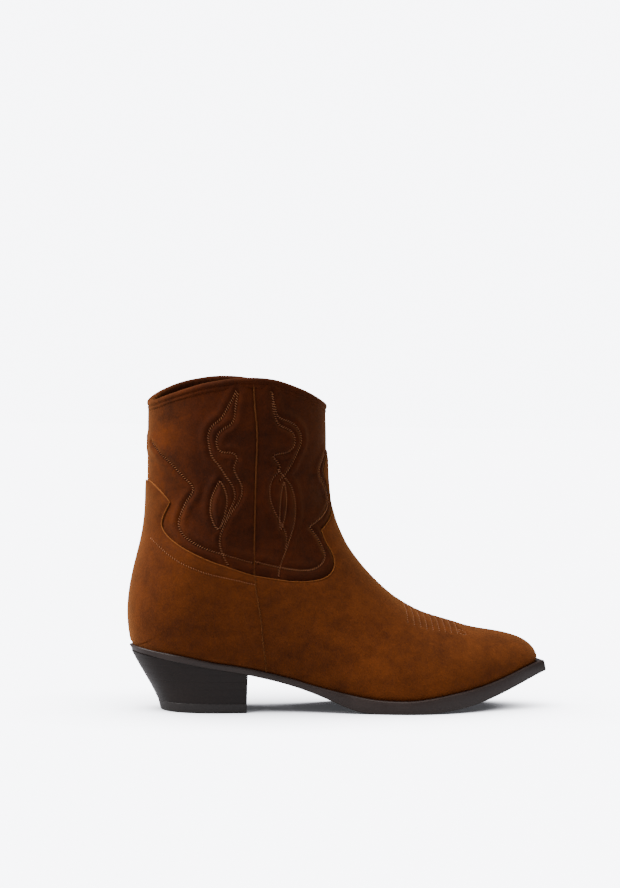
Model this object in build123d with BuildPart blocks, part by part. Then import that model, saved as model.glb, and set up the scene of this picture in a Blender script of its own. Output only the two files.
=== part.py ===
from build123d import *
from math import copysign, cos, hypot, pi, sin, sqrt
import os

# Western ankle boot, right foot. Lengths in millimetres.
# Boot coordinates used in the tables: x runs from the back of the heel to the toe,
# z runs up from the ground, the outer side of the foot is -Y.
# SIDE and TOP place those coordinates in the shared frame, centred on the boot's length.

os.makedirs("parts", exist_ok=True)

# ---------------------------------------------------------------- driving dimensions
CENTRE_X = 139.9
REACH = 70.0                # half width of every block that trims across the boot
SKY = 250.0                 # height above everything
AHEAD = 300.0               # past the toe
BEHIND = -20.0              # past the heel
UNDER = -20.0               # below the ground

OUTER_SKIN = 1.4            # suede of the vamp and counter
SHAFT_SKIN = 1.4            # suede of the shaft, and everything in the same layer
LINING_SKIN = 1.0
PIPING_PROUD = 0.9          # how far the side piping stands off the shaft
PIPING_WIDTH = 1.9
BINDING_SKIN = 0.7
BINDING_DEPTH = 5.0
SIDE_GAP = 0.2              # gap left between neighbouring edges

INSOLE_THICK = 2.4
SOCK_THICK = 1.2
PAD_THICK = 2.0
SHANK_THICK = 1.2
SHANK_LENGTH = 96.0
SHANK_CENTRE_X = 110.0
SHANK_BED = 0.6             # filler left under the shank
SHANK_HALF_WIDTH = 6.0

BREAST_X = 73.3             # front face of the heel
BREAST_HOLLOW = 2.0
LIFT_TOP_Z = 6.2

SCREW_X = 40.0
SCREW_RADIUS = 2.3
SCREW_HEAD_RADIUS = 4.5
SCREW_HEAD_THICK = 1.2
SCREW_BOTTOM_Z = 12.0
SCREW_HEAD_Z = 37.4
NAIL_RADIUS = 1.1
NAIL_BOTTOM_Z = 17.0
PIN_RADIUS = 1.0
PIN_TOP_Z = 14.0
PIN_RECESS = 0.3            # pin heads sit just inside the tread

# layer surfaces, measured inward from the outside of the vamp
AT_SHAFT = OUTER_SKIN
AT_LINING = AT_SHAFT + SHAFT_SKIN
AT_FOOT = AT_LINING + LINING_SKIN

# bottom layers, measured upward from the top of the outsole
AT_LINING_MARGIN = OUTER_SKIN
AT_INSOLE = AT_LINING_MARGIN + LINING_SKIN
AT_SOCK = AT_INSOLE + INSOLE_THICK
AT_PAD = AT_SOCK + SOCK_THICK
AT_TREAD = AT_PAD + PAD_THICK

SIDE = Plane(origin=(-CENTRE_X, 0, 0), x_dir=(1, 0, 0), z_dir=(0, -1, 0))
TOP = Plane(origin=(-CENTRE_X, 0, 0), x_dir=(1, 0, 0), z_dir=(0, 0, 1))

# ---------------------------------------------------------------- form of the boot
# Each station is one slice of the boot, on a plane that fans from the toe to the top:
# lowest point x, z; highest point x, z; half widths outer, inner side;
# height of the widest place; squareness below and above it
STATIONS = [
    (275.0, 24.0, 275.0, 36.4, 5.8, 5.8, 0.55, 2.6, 2.0),
    (273.6, 20.0, 273.6, 38.9, 9.0, 9.0, 0.55, 2.8, 2.0),
    (269.0, 16.0, 269.0, 43.2, 13.6, 13.9, 0.52, 3.0, 2.0),
    (260.0, 12.0, 260.0, 47.4, 18.8, 19.4, 0.48, 3.0, 2.0),
    (248.0, 8.0, 248.0, 50.3, 24.4, 26.0, 0.46, 3.0, 2.0),
    (232.0, 3.5, 232.0, 52.8, 31.0, 33.0, 0.42, 3.0, 2.0),
    (214.0, -0.5, 214.0, 57.5, 37.8, 40.0, 0.40, 3.0, 1.95),
    (196.0, -4.0, 196.0, 62.9, 42.0, 43.4, 0.36, 3.0, 1.9),
    (179.0, -6.0, 181.0, 70.5, 43.0, 41.0, 0.34, 3.0, 1.9),
    (162.0, -6.5, 170.0, 79.0, 41.2, 36.6, 0.34, 2.9, 1.9),
    (142.0, -3.0, 158.6, 89.5, 38.0, 33.0, 0.35, 2.8, 1.9),
    (119.0, 3.0, 149.2, 99.9, 35.6, 31.6, 0.39, 2.7, 1.95),
    (95.0, 10.5, 143.3, 107.9, 34.4, 31.6, 0.43, 2.6, 2.0),
    (69.0, 15.5, 139.6, 115.0, 34.2, 32.4, 0.46, 2.6, 2.0),
    (45.0, 18.0, 136.9, 121.3, 34.4, 33.4, 0.47, 2.6, 2.0),
    (24.0, 21.0, 134.9, 127.5, 34.8, 33.8, 0.47, 2.6, 2.0),
    (8.0, 31.0, 133.4, 133.5, 35.4, 34.6, 0.46, 2.5, 2.0),
    (1.3, 48.0, 132.3, 139.5, 36.0, 35.4, 0.45, 2.35, 2.0),
    (-0.2, 67.0, 131.3, 146.5, 36.6, 36.2, 0.45, 2.25, 2.0),
    (2.1, 87.0, 130.5, 155.0, 37.4, 37.0, 0.46, 2.15, 2.0),
    (6.8, 108.0, 129.9, 165.0, 38.2, 38.0, 0.47, 2.1, 2.0),
    (9.8, 130.0, 129.3, 176.0, 39.0, 39.0, 0.49, 2.1, 2.05),
    (9.8, 152.0, 128.7, 187.0, 39.8, 39.8, 0.5, 2.1, 2.1),
    (9.6, 176.0, 128.1, 200.0, 40.6, 40.6, 0.5, 2.1, 2.1),
    (9.8, 228.0, 127.4, 228.0, 41.2, 41.2, 0.5, 2.1, 2.1),
]
TOE_X = 275.0
NOSE_LENGTH = 20.0          # length over which the toe rounds in
HALF_STEPS = 7              # outline points from the lowest point to mid height
STEEPEST_LEAN = 0.6

# ---------------------------------------------------------------- side view lines
FEATHER = [
    (-8, 44.8), (1, 43), (14, 40.3), (31, 37.3), (48, 33.7), (66, 30.8), (84, 27.2),
    (101, 22.9), (118, 17.8), (135, 13.6), (150, 10.4), (165, 8.9), (182, 9.1),
    (202, 11.9), (224, 15.7), (247, 22), (266, 28.4), (277.3, 31.2), (292, 34),
]
SOLE_TOE_TOP = (276.6, 33)
SOLE_UNDERSIDE = [
    (280, 24.4), (271, 21.3), (247, 12.3), (224, 5.2), (202, 1.5), (182, 0), (163, 0),
    (146, 1.3), (132, 6.3), (118.5, 12), (101, 18), (84, 22.4), (66, 26.1), (48, 29.2),
    (31, 32.6), (14, 35.8), (3.2, 38.1),
]
SOLE_BACK_TOP = (0.2, 44)
OVER_SOLE = 60.0            # clear of the outsole everywhere
RIM = [
    (-6, 190), (9.6, 198.4), (18, 202.8), (28, 206.9), (38, 210.2), (49, 212.5),
    (58, 213.9), (69, 214.6), (77, 214.4), (85, 213.5), (93, 211.6), (102, 208.8),
    (111.5, 205.4), (120, 201.6), (128, 198), (142, 191),
]
SEAM = [
    (70, 222), (70.4, 211.6), (72.1, 193.9), (73.4, 183.1), (73.8, 158.3),
    (74.1, 131.4), (75, 89), (75.3, 83.5), (79.4, 61.9), (81.8, 44.6), (85.1, 28.2),
    (88, 5),
]
SEAM_JOINT = (75, 89)       # where shaft, vamp and counter meet
PIPING_FOOT = (74.9, 91)
VAMP_FRONT_LOBE = [(90, 86.7), (104, 85.2), (116.6, 86), (126.4, 89.6), (130.6, 96.4),
                   (129.3, 103.2), (125, 110.6), (122.2, 117.8)]
VAMP_NECK = [(122.2, 117.8), (127.8, 122.8), (132.2, 129.4), (132.3, 135.6)]
VAMP_TONGUE = [(132.3, 135.6), (130.6, 141.5), (127.4, 148.6), (125, 155.7),
               (126.2, 162), (130.5, 168.6), (136, 172)]
COUNTER_SWEEP = [(65, 91.9), (55, 95.1), (45.3, 98.4), (35.8, 102.5), (26.7, 107.6),
                 (20, 113), (16.4, 118.6), (16.3, 123.4), (18, 129), (20.6, 135.4)]
COUNTER_PEAK = [(20.6, 135.4), (17.2, 139.8), (10.6, 147.6), (0, 158)]
SHAFT_FOOT = [(-8, 98), (20, 91.5), (45, 84), (74, 76.5), (95, 73.5), (116, 75.5),
              (134, 86), (150, 102), (158, 114)]
STIFFENER_FRONT = [(52, 84), (62, 66), (68, 46), (72, 20)]
PUFF_BACK = [(206, 80), (213, 50), (219, 30), (222, 5)]

# ---------------------------------------------------------------- plan view lines
SOLE_EDGE = [
    (280, -10.6), (269.5, -15.8), (260, -20.7), (248, -26.3), (232, -32.8),
    (214, -39.2), (196, -43.4), (179, -44), (163, -41.5), (144.6, -37), (123, -32.2),
    (101, -28.9), (78, -28.3), (57.6, -28.8), (39, -29), (25, -27.2), (12, -21),
    (3.6, -12), (0.6, 0), (3.6, 12), (12, 20.6), (25, 26.6), (39, 28.2), (57.6, 27.8),
    (78, 26.8), (101, 26.4), (123, 28.4), (144.6, 32.2), (163, 37), (179.4, 42.2),
    (196, 44.6), (214, 41.2), (232, 34.8), (248, 27.8), (260, 21.3), (269.5, 16),
    (280, 10.6),
]
FILLER_EDGE = [
    (255, 0), (250, -9), (232, -17), (210, -24), (185, -28.5), (160, -26), (130, -17),
    (100, -12.5), (60, -13), (36, -14), (22, -8), (18, 0), (22, 8), (36, 13), (60, 12),
    (100, 10), (130, 13), (160, 21), (185, 27.5), (210, 26), (232, 18), (250, 9.5),
]
PAD_EDGE = [(84, 0), (80, 11), (66, 18), (45, 20), (26, 17.5), (16, 9), (13, 0),
            (16, -9), (26, -17.5), (45, -20), (66, -18), (80, -11)]
NAIL_SPOTS = [(26, 0), (33, -8.5), (33, 8.5), (56, -9.5), (56, 9.5)]
PIN_SPOTS = [(31, 0), (37, -14), (37, 14), (66, -18), (66, 18)]

# heel slices: height, x of the back, half width
HEEL_SLICES = [(46, -1.5, 29.4), (28, 8.6, 28), (14, 17, 26.8), (LIFT_TOP_Z, 21, 26.2)]
LIFT_SLICES = [(LIFT_TOP_Z, 21, 26.2), (0, 22.8, 25.6)]
# rounding of a slice's back, in half widths: distance ahead of its back, distance out
HEEL_ROUND = [(1.35, 1), (0.62, 0.88), (0.17, 0.54)]


def slice_outline(height, half_width, widest, square_low, square_high, side):
    """Points of one side of a slice, from its lowest to its highest point."""
    points = []
    for step in range(1, 2 * HALF_STEPS):
        angle = pi * step / (2 * HALF_STEPS)
        level = cos(angle)
        square = square_low if level > 0 else square_high
        span = widest * height if level > 0 else (1 - widest) * height
        rise = widest * height - copysign(span * abs(level) ** (2 / square), level)
        points.append((rise, side * half_width * sin(angle) ** (2 / square)))
    return points


def lean(line, index, ux, uz):
    """Sine of the angle between a slice and the side view line it ends on."""
    before = line[max(0, index - 1)]
    after = line[min(len(line) - 1, index + 1)]
    ax = after[0] - before[0]
    az = after[1] - before[1]
    return max(STEEPEST_LEAN, abs(ux * az - uz * ax) / hypot(ax, az))


def even_spline(points):
    """Curve through points with evenly spaced knots, so that all slices share them."""
    knots = [index / (len(points) - 1) for index in range(len(points))]
    return Edge.make_spline([Vector(*point) for point in points], parameters=knots)


def form(inset):
    """Solid form of the whole boot, with its skin moved inward by inset."""
    lows = [(station[0], station[1]) for station in STATIONS]
    highs = [(station[2], station[3]) for station in STATIONS]
    slices = []
    for index, station in enumerate(STATIONS):
        low_x, low_z, high_x, high_z, outer, inner, widest, square_low, square_high = station
        length = hypot(high_x - low_x, high_z - low_z)
        ux = (high_x - low_x) / length
        uz = (high_z - low_z) / length
        nose = max(0.0, 1 - (TOE_X - high_x) / NOSE_LENGTH)
        sideways = inset * sqrt(1 - nose**2)
        lift = sideways / lean(lows, index, ux, uz)
        drop = sideways / lean(highs, index, ux, uz)
        origin_x = low_x + ux * lift - inset * nose - CENTRE_X
        origin_z = low_z + uz * lift
        height = length - lift - drop
        plane = Plane(origin=(origin_x, 0, origin_z), x_dir=(ux, 0, uz), z_dir=(-uz, 0, ux))
        with BuildSketch(plane) as outline:
            with BuildLine():
                for side, half_width in ((-1, outer - sideways), (1, inner - sideways)):
                    bend = slice_outline(
                        height, half_width, widest, square_low, square_high, side
                    )
                    add(even_spline([(0, 0), *bend, (height, 0)]))
            make_face()
        slices.append(outline.sketch.faces()[0])
    with BuildPart() as solid:
        loft(sections=slices)
    return solid.part


def raised(line, rise):
    """A side view line moved straight up."""
    return [(x, z + rise) for x, z in line]


def slab(low, high):
    """Full width slab between two heights above the top of the outsole."""
    with BuildPart() as block:
        with BuildSketch(SIDE):
            with BuildLine():
                under = Spline(*raised(FEATHER, low))
                over = Spline(*raised(FEATHER, high))
                Line(under @ 0, over @ 0)
                Line(under @ 1, over @ 1)
            make_face()
        extrude(amount=REACH, both=True)
    return block.part


def below_rim(rise):
    """Everything under the top line of the boot, moved up by rise."""
    with BuildPart() as block:
        with BuildSketch(SIDE):
            with BuildLine():
                edge = Spline(*raised(RIM, rise))
                Polyline(edge @ 1, (AHEAD, RIM[-1][1]), (AHEAD, UNDER), (BEHIND, UNDER), edge @ 0)
            make_face()
        extrude(amount=REACH, both=True)
    return block.part


def in_front(line):
    """Everything ahead of a side view line that runs from top to bottom."""
    with BuildPart() as block:
        with BuildSketch(SIDE):
            with BuildLine():
                edge = Spline(*line)
                Polyline(edge @ 1, (line[-1][0], UNDER), (AHEAD, UNDER), (AHEAD, SKY),
                         (line[0][0], SKY), edge @ 0)
            make_face()
        extrude(amount=REACH, both=True)
    return block.part


def shifted(line, shift):
    """A side view line moved forward."""
    return [(x + shift, z) for x, z in line]


def ahead_of_seam(shift):
    """Everything ahead of the side seams."""
    return in_front(shifted(SEAM, shift))


def vamp_region():
    """Side view shape of the vamp, with its tongue up the front."""
    with BuildPart() as block:
        with BuildSketch(SIDE):
            with BuildLine():
                low = Spline(*[p for p in SEAM if p[1] <= SEAM_JOINT[1]])
                lobe = Spline(SEAM_JOINT, *VAMP_FRONT_LOBE)
                neck = Spline(*VAMP_NECK)
                tongue = Spline(*VAMP_TONGUE)
                Polyline(tongue @ 1, (AHEAD, SKY), (AHEAD, UNDER), low @ 1)
            make_face()
        extrude(amount=REACH, both=True)
    return block.part


def counter_region():
    """Side view shape of the counter, with its point up the back."""
    with BuildPart() as block:
        with BuildSketch(SIDE):
            with BuildLine():
                low = Spline(*shifted([p for p in SEAM if p[1] <= SEAM_JOINT[1]], -SIDE_GAP))
                sweep = Spline(low @ 0, *COUNTER_SWEEP)
                peak = Spline(*COUNTER_PEAK)
                Polyline(peak @ 1, (BEHIND, COUNTER_PEAK[-1][1]), (BEHIND, UNDER), low @ 1)
            make_face()
        extrude(amount=REACH, both=True)
    return block.part


def above_shaft_foot(rise):
    """Everything above the hidden lower edge of the shaft."""
    with BuildPart() as block:
        with BuildSketch(SIDE):
            with BuildLine():
                edge = Spline(*raised(SHAFT_FOOT, rise))
                Polyline(edge @ 1, (AHEAD, SKY), (BEHIND, SKY), edge @ 0)
            make_face()
        extrude(amount=REACH, both=True)
    return block.part


def filler_region():
    """Upright block inside the turned-in edges under the foot."""
    with BuildPart() as block:
        with BuildSketch(TOP):
            with BuildLine():
                Spline(*FILLER_EDGE, periodic=True)
            make_face()
        extrude(amount=SKY)
    return block.part


def heel_stack(slices):
    """Loft of D-shaped heel slices: straight sides, round back, hollow front."""
    faces = []
    for height, back, half in slices:
        with BuildSketch(TOP.offset(height)) as outline:
            with BuildLine():
                outer = [(back + run * half, -out * half) for run, out in HEEL_ROUND]
                inner = [(back + run * half, out * half) for run, out in reversed(HEEL_ROUND)]
                wall = Spline((BREAST_X, -half), *outer, (back, 0), *inner, (BREAST_X, half))
                ThreePointArc(wall @ 1, (BREAST_X - BREAST_HOLLOW, 0), wall @ 0)
            make_face()
        faces.append(outline.sketch.faces()[0])
    with BuildPart() as stack:
        loft(sections=faces, ruled=len(faces) == 2)
    return stack.part


def shank_strip(grow):
    """Sprung strip that follows the waist inside the filler."""
    with BuildPart() as strip:
        add(slab(SHANK_BED - grow, SHANK_BED + SHANK_THICK + grow))
        with BuildSketch(TOP):
            with Locations((SHANK_CENTRE_X, 0)):
                SlotOverall(SHANK_LENGTH + 2 * grow, 2 * SHANK_HALF_WIDTH + 2 * grow)
        extrude(amount=SKY, mode=Mode.INTERSECT)
    return strip.part


def rods(spots, radius, low, high):
    """Upright round rods."""
    with BuildPart() as group:
        with BuildSketch(TOP.offset(low)):
            with Locations(*spots):
                Circle(radius)
        extrude(amount=high - low)
    return group.part


def heel_fastener_rods():
    """Nails and screw shaft, flush with the top of the insole board."""
    with BuildPart() as group:
        add(rods(NAIL_SPOTS, NAIL_RADIUS, NAIL_BOTTOM_Z, SKY))
        add(slab(-SKY, AT_SOCK), mode=Mode.INTERSECT)
    return group.part


def screw_rod():
    """Heel screw: a shaft with a flat round head sunk in the insole board."""
    with BuildPart() as screw:
        add(rods([(SCREW_X, 0)], SCREW_RADIUS, SCREW_BOTTOM_Z, SCREW_HEAD_Z))
        add(rods([(SCREW_X, 0)], SCREW_HEAD_RADIUS, SCREW_HEAD_Z, SCREW_HEAD_Z + SCREW_HEAD_THICK))
    return screw.part


# ---------------------------------------------------------------- shared layers
outer_form = form(0)
shaft_form = form(AT_SHAFT)
lining_form = form(AT_LINING)
foot_form = form(AT_FOOT)
body_zone = slab(0, SKY) & below_rim(0)
inner_zone = slab(AT_LINING_MARGIN, SKY) & below_rim(0)
front_zone = ahead_of_seam(SIDE_GAP / 2)
rear_cutter = ahead_of_seam(-SIDE_GAP / 2)
shaft_zone = above_shaft_foot(0)
foot_cutter = above_shaft_foot(-SIDE_GAP)
filler_zone = filler_region() & slab(0, AT_INSOLE)
nails = heel_fastener_rods()
screw = screw_rod()
pins = rods(PIN_SPOTS, PIN_RADIUS, PIN_RECESS, PIN_TOP_Z)
shaft_hollow = shaft_form & slab(AT_LINING_MARGIN, SKY)
foot_hollow = foot_form & slab(AT_INSOLE, SKY)

# ---------------------------------------------------------------- outer leather
with BuildPart() as vamp:
    add(outer_form)
    add(vamp_region() & body_zone, mode=Mode.INTERSECT)
    add(shaft_hollow, mode=Mode.SUBTRACT)
    add(filler_zone, mode=Mode.SUBTRACT)
vamp.part.label = "vamp"
export_step(vamp.part, "parts/vamp.step")

with BuildPart() as counter:
    add(outer_form)
    add(counter_region() & body_zone, mode=Mode.INTERSECT)
    add(shaft_hollow, mode=Mode.SUBTRACT)
    add(filler_zone, mode=Mode.SUBTRACT)
counter.part.label = "counter"
export_step(counter.part, "parts/counter.step")

with BuildPart() as shaft_front:
    add(shaft_form)
    add(shaft_zone & inner_zone & front_zone, mode=Mode.INTERSECT)
    add(lining_form, mode=Mode.SUBTRACT)
shaft_front.part.label = "shaft_front"
export_step(shaft_front.part, "parts/shaft_front.step")

with BuildPart() as shaft_back:
    add(shaft_form)
    add((shaft_zone & inner_zone) - rear_cutter, mode=Mode.INTERSECT)
    add(lining_form, mode=Mode.SUBTRACT)
shaft_back.part.label = "shaft_back"
export_step(shaft_back.part, "parts/shaft_back.step")

# ---------------------------------------------------------------- stiffening between the skins
foot_zone = inner_zone - foot_cutter
with BuildPart() as heel_stiffener:
    add(shaft_form)
    add(foot_zone - in_front(STIFFENER_FRONT), mode=Mode.INTERSECT)
    add(lining_form, mode=Mode.SUBTRACT)
heel_stiffener.part.label = "heel_stiffener"
export_step(heel_stiffener.part, "parts/heel_stiffener.step")

with BuildPart() as toe_puff:
    add(shaft_form)
    add(foot_zone & in_front(PUFF_BACK), mode=Mode.INTERSECT)
    add(lining_form, mode=Mode.SUBTRACT)
toe_puff.part.label = "toe_puff"
export_step(toe_puff.part, "parts/toe_puff.step")

with BuildPart() as vamp_interlining:
    add(shaft_form)
    add(foot_zone & in_front(shifted(STIFFENER_FRONT, SIDE_GAP)), mode=Mode.INTERSECT)
    add(in_front(shifted(PUFF_BACK, -SIDE_GAP)), mode=Mode.SUBTRACT)
    add(lining_form, mode=Mode.SUBTRACT)
vamp_interlining.part.label = "vamp_interlining"
export_step(vamp_interlining.part, "parts/vamp_interlining.step")

# ---------------------------------------------------------------- lining
with BuildPart() as lining_front:
    add(lining_form)
    add(shaft_zone & inner_zone & front_zone, mode=Mode.INTERSECT)
    add(foot_form, mode=Mode.SUBTRACT)
lining_front.part.label = "lining_front"
export_step(lining_front.part, "parts/lining_front.step")

with BuildPart() as lining_back:
    add(lining_form)
    add((shaft_zone & inner_zone) - rear_cutter, mode=Mode.INTERSECT)
    add(foot_form, mode=Mode.SUBTRACT)
lining_back.part.label = "lining_back"
export_step(lining_back.part, "parts/lining_back.step")

with BuildPart() as lining_vamp:
    add(lining_form)
    add(foot_zone & front_zone, mode=Mode.INTERSECT)
    add(foot_hollow, mode=Mode.SUBTRACT)
    add(filler_zone, mode=Mode.SUBTRACT)
lining_vamp.part.label = "lining_vamp"
export_step(lining_vamp.part, "parts/lining_vamp.step")

with BuildPart() as lining_heel:
    add(lining_form)
    add(foot_zone - rear_cutter, mode=Mode.INTERSECT)
    add(foot_hollow, mode=Mode.SUBTRACT)
    add(filler_zone, mode=Mode.SUBTRACT)
lining_heel.part.label = "lining_heel"
export_step(lining_heel.part, "parts/lining_heel.step")

# ---------------------------------------------------------------- trim of the shaft
with BuildPart() as top_binding:
    add(form(AT_SHAFT - BINDING_SKIN))
    add(below_rim(BINDING_SKIN) - below_rim(-BINDING_DEPTH), mode=Mode.INTERSECT)
    add(form(AT_FOOT + BINDING_SKIN), mode=Mode.SUBTRACT)
    add((shaft_form & below_rim(0)) - foot_form, mode=Mode.SUBTRACT)
top_binding.part.label = "top_binding"
export_step(top_binding.part, "parts/top_binding.step")

piping_line = [point for point in SEAM if point[1] > SEAM_JOINT[1]] + [PIPING_FOOT]
with BuildPart() as piping:
    add(form(AT_SHAFT - PIPING_PROUD))
    with BuildSketch(SIDE):
        with BuildLine():
            rear = Spline(*shifted(piping_line, -PIPING_WIDTH / 2))
            fore = Spline(*shifted(piping_line, PIPING_WIDTH / 2))
            Line(rear @ 0, fore @ 0)
            Line(rear @ 1, fore @ 1)
        make_face()
    extrude(amount=REACH, both=True, mode=Mode.INTERSECT)
    add(below_rim(-BINDING_DEPTH - SIDE_GAP), mode=Mode.INTERSECT)
    add(shaft_form, mode=Mode.SUBTRACT)
strips = piping.part.solids().sort_by(Axis.Y)

with BuildPart() as side_piping_outer:
    add(strips[0])
side_piping_outer.part.label = "side_piping_outer"
export_step(side_piping_outer.part, "parts/side_piping_outer.step")

with BuildPart() as side_piping_inner:
    add(strips[-1])
side_piping_inner.part.label = "side_piping_inner"
export_step(side_piping_inner.part, "parts/side_piping_inner.step")

# ---------------------------------------------------------------- under the foot
with BuildPart() as insole_board:
    add(foot_form)
    add(slab(AT_INSOLE, AT_SOCK), mode=Mode.INTERSECT)
    add(nails, mode=Mode.SUBTRACT)
    add(screw, mode=Mode.SUBTRACT)
insole_board.part.label = "insole_board"
export_step(insole_board.part, "parts/insole_board.step")

with BuildPart() as sock_lining:
    add(foot_form)
    add(slab(AT_SOCK, AT_PAD), mode=Mode.INTERSECT)
sock_lining.part.label = "sock_lining"
export_step(sock_lining.part, "parts/sock_lining.step")

with BuildPart() as heel_pad:
    add(slab(AT_PAD, AT_TREAD))
    with BuildSketch(TOP):
        with BuildLine():
            Spline(*PAD_EDGE, periodic=True)
        make_face()
    extrude(amount=SKY, mode=Mode.INTERSECT)
heel_pad.part.label = "heel_pad"
export_step(heel_pad.part, "parts/heel_pad.step")

with BuildPart() as steel_shank:
    add(shank_strip(0))
steel_shank.part.label = "steel_shank"
export_step(steel_shank.part, "parts/steel_shank.step")

with BuildPart() as bottom_filler:
    add(filler_zone)
    add(shank_strip(SIDE_GAP), mode=Mode.SUBTRACT)
    add(nails, mode=Mode.SUBTRACT)
    add(screw, mode=Mode.SUBTRACT)
bottom_filler.part.label = "bottom_filler"
export_step(bottom_filler.part, "parts/bottom_filler.step")

# ---------------------------------------------------------------- sole and heel
with BuildPart() as outsole:
    with BuildSketch(SIDE):
        with BuildLine():
            under = Spline(*SOLE_UNDERSIDE)
            Polyline(under @ 1, SOLE_BACK_TOP, (0, OVER_SOLE), (TOE_X, OVER_SOLE), SOLE_TOE_TOP,
                     under @ 0)
        make_face()
    extrude(amount=REACH, both=True)
    add(slab(0, SKY), mode=Mode.SUBTRACT)
    with BuildSketch(TOP):
        with BuildLine():
            edge = Spline(*SOLE_EDGE)
            Line(edge @ 1, edge @ 0)
        make_face()
    extrude(amount=SKY, mode=Mode.INTERSECT)
    add(nails, mode=Mode.SUBTRACT)
    add(screw, mode=Mode.SUBTRACT)
outsole.part.label = "outsole"
export_step(outsole.part, "parts/outsole.step")

with BuildPart() as heel_block:
    add(heel_stack(HEEL_SLICES))
    with BuildSketch(SIDE):
        with BuildLine():
            under = Spline(*SOLE_UNDERSIDE)
            Polyline(under @ 1, (BEHIND, 45), (BEHIND, UNDER), (AHEAD, UNDER), under @ 0)
        make_face()
    extrude(amount=REACH, both=True, mode=Mode.INTERSECT)
    add(nails, mode=Mode.SUBTRACT)
    add(screw, mode=Mode.SUBTRACT)
    add(pins, mode=Mode.SUBTRACT)
heel_block.part.label = "heel_block"
export_step(heel_block.part, "parts/heel_block.step")

with BuildPart() as top_lift:
    add(heel_stack(LIFT_SLICES))
    add(rods(PIN_SPOTS, PIN_RADIUS, 0, PIN_TOP_Z), mode=Mode.SUBTRACT)
top_lift.part.label = "top_lift"
export_step(top_lift.part, "parts/top_lift.step")

# ---------------------------------------------------------------- heel fasteners
with BuildPart() as heel_nails:
    add(nails)
heel_nails.part.label = "heel_nails"
export_step(heel_nails.part, "parts/heel_nails.step")

with BuildPart() as heel_screw:
    add(screw)
heel_screw.part.label = "heel_screw"
export_step(heel_screw.part, "parts/heel_screw.step")

with BuildPart() as top_lift_pins:
    add(pins)
top_lift_pins.part.label = "top_lift_pins"
export_step(top_lift_pins.part, "parts/top_lift_pins.step")
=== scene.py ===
import math

import bpy
import numpy as np
from mathutils import Matrix, Vector
from mathutils.kdtree import KDTree


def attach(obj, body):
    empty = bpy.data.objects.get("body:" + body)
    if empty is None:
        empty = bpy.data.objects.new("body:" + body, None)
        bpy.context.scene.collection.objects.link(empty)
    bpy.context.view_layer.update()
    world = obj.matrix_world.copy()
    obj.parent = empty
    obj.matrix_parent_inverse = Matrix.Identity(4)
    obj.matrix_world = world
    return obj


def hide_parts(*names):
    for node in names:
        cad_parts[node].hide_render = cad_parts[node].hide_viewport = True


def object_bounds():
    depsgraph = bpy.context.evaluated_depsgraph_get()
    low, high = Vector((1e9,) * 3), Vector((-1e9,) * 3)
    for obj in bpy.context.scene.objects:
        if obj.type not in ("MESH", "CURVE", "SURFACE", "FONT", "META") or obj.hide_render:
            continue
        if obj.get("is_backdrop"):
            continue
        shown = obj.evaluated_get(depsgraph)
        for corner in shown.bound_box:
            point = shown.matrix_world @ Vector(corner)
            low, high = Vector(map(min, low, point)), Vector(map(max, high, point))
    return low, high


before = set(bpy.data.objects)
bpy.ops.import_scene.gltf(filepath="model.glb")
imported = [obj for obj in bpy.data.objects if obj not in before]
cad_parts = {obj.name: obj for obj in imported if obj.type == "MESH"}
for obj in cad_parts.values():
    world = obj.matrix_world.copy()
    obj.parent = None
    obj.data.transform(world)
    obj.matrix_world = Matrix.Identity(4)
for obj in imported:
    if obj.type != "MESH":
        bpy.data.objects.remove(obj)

# Western ankle boot in suede. The shape tables below are in boot millimetres:
# x from the back of the heel to the toe, z up from the ground, outer side -Y.
# to_frame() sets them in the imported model's frame.
CAD_LOW, CAD_HIGH = (Vector(corner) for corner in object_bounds())
HEEL_BULGE = 0.23          # how far the skin reaches behind x = 0
MM = 0.001
SEED = 11

OUTER_SKIN = 1.4
SHAFT_SKIN = 1.4
LINING_SKIN = 1.0
TO_LINING = OUTER_SKIN + SHAFT_SKIN + LINING_SKIN
TUCK = 1.0                 # the upper runs this far down behind the sole's edge
SIDES = (-1, 1)            # outer side, inner side
SIDE_VIEW = np.array([1, 0, 1])   # drops y

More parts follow.
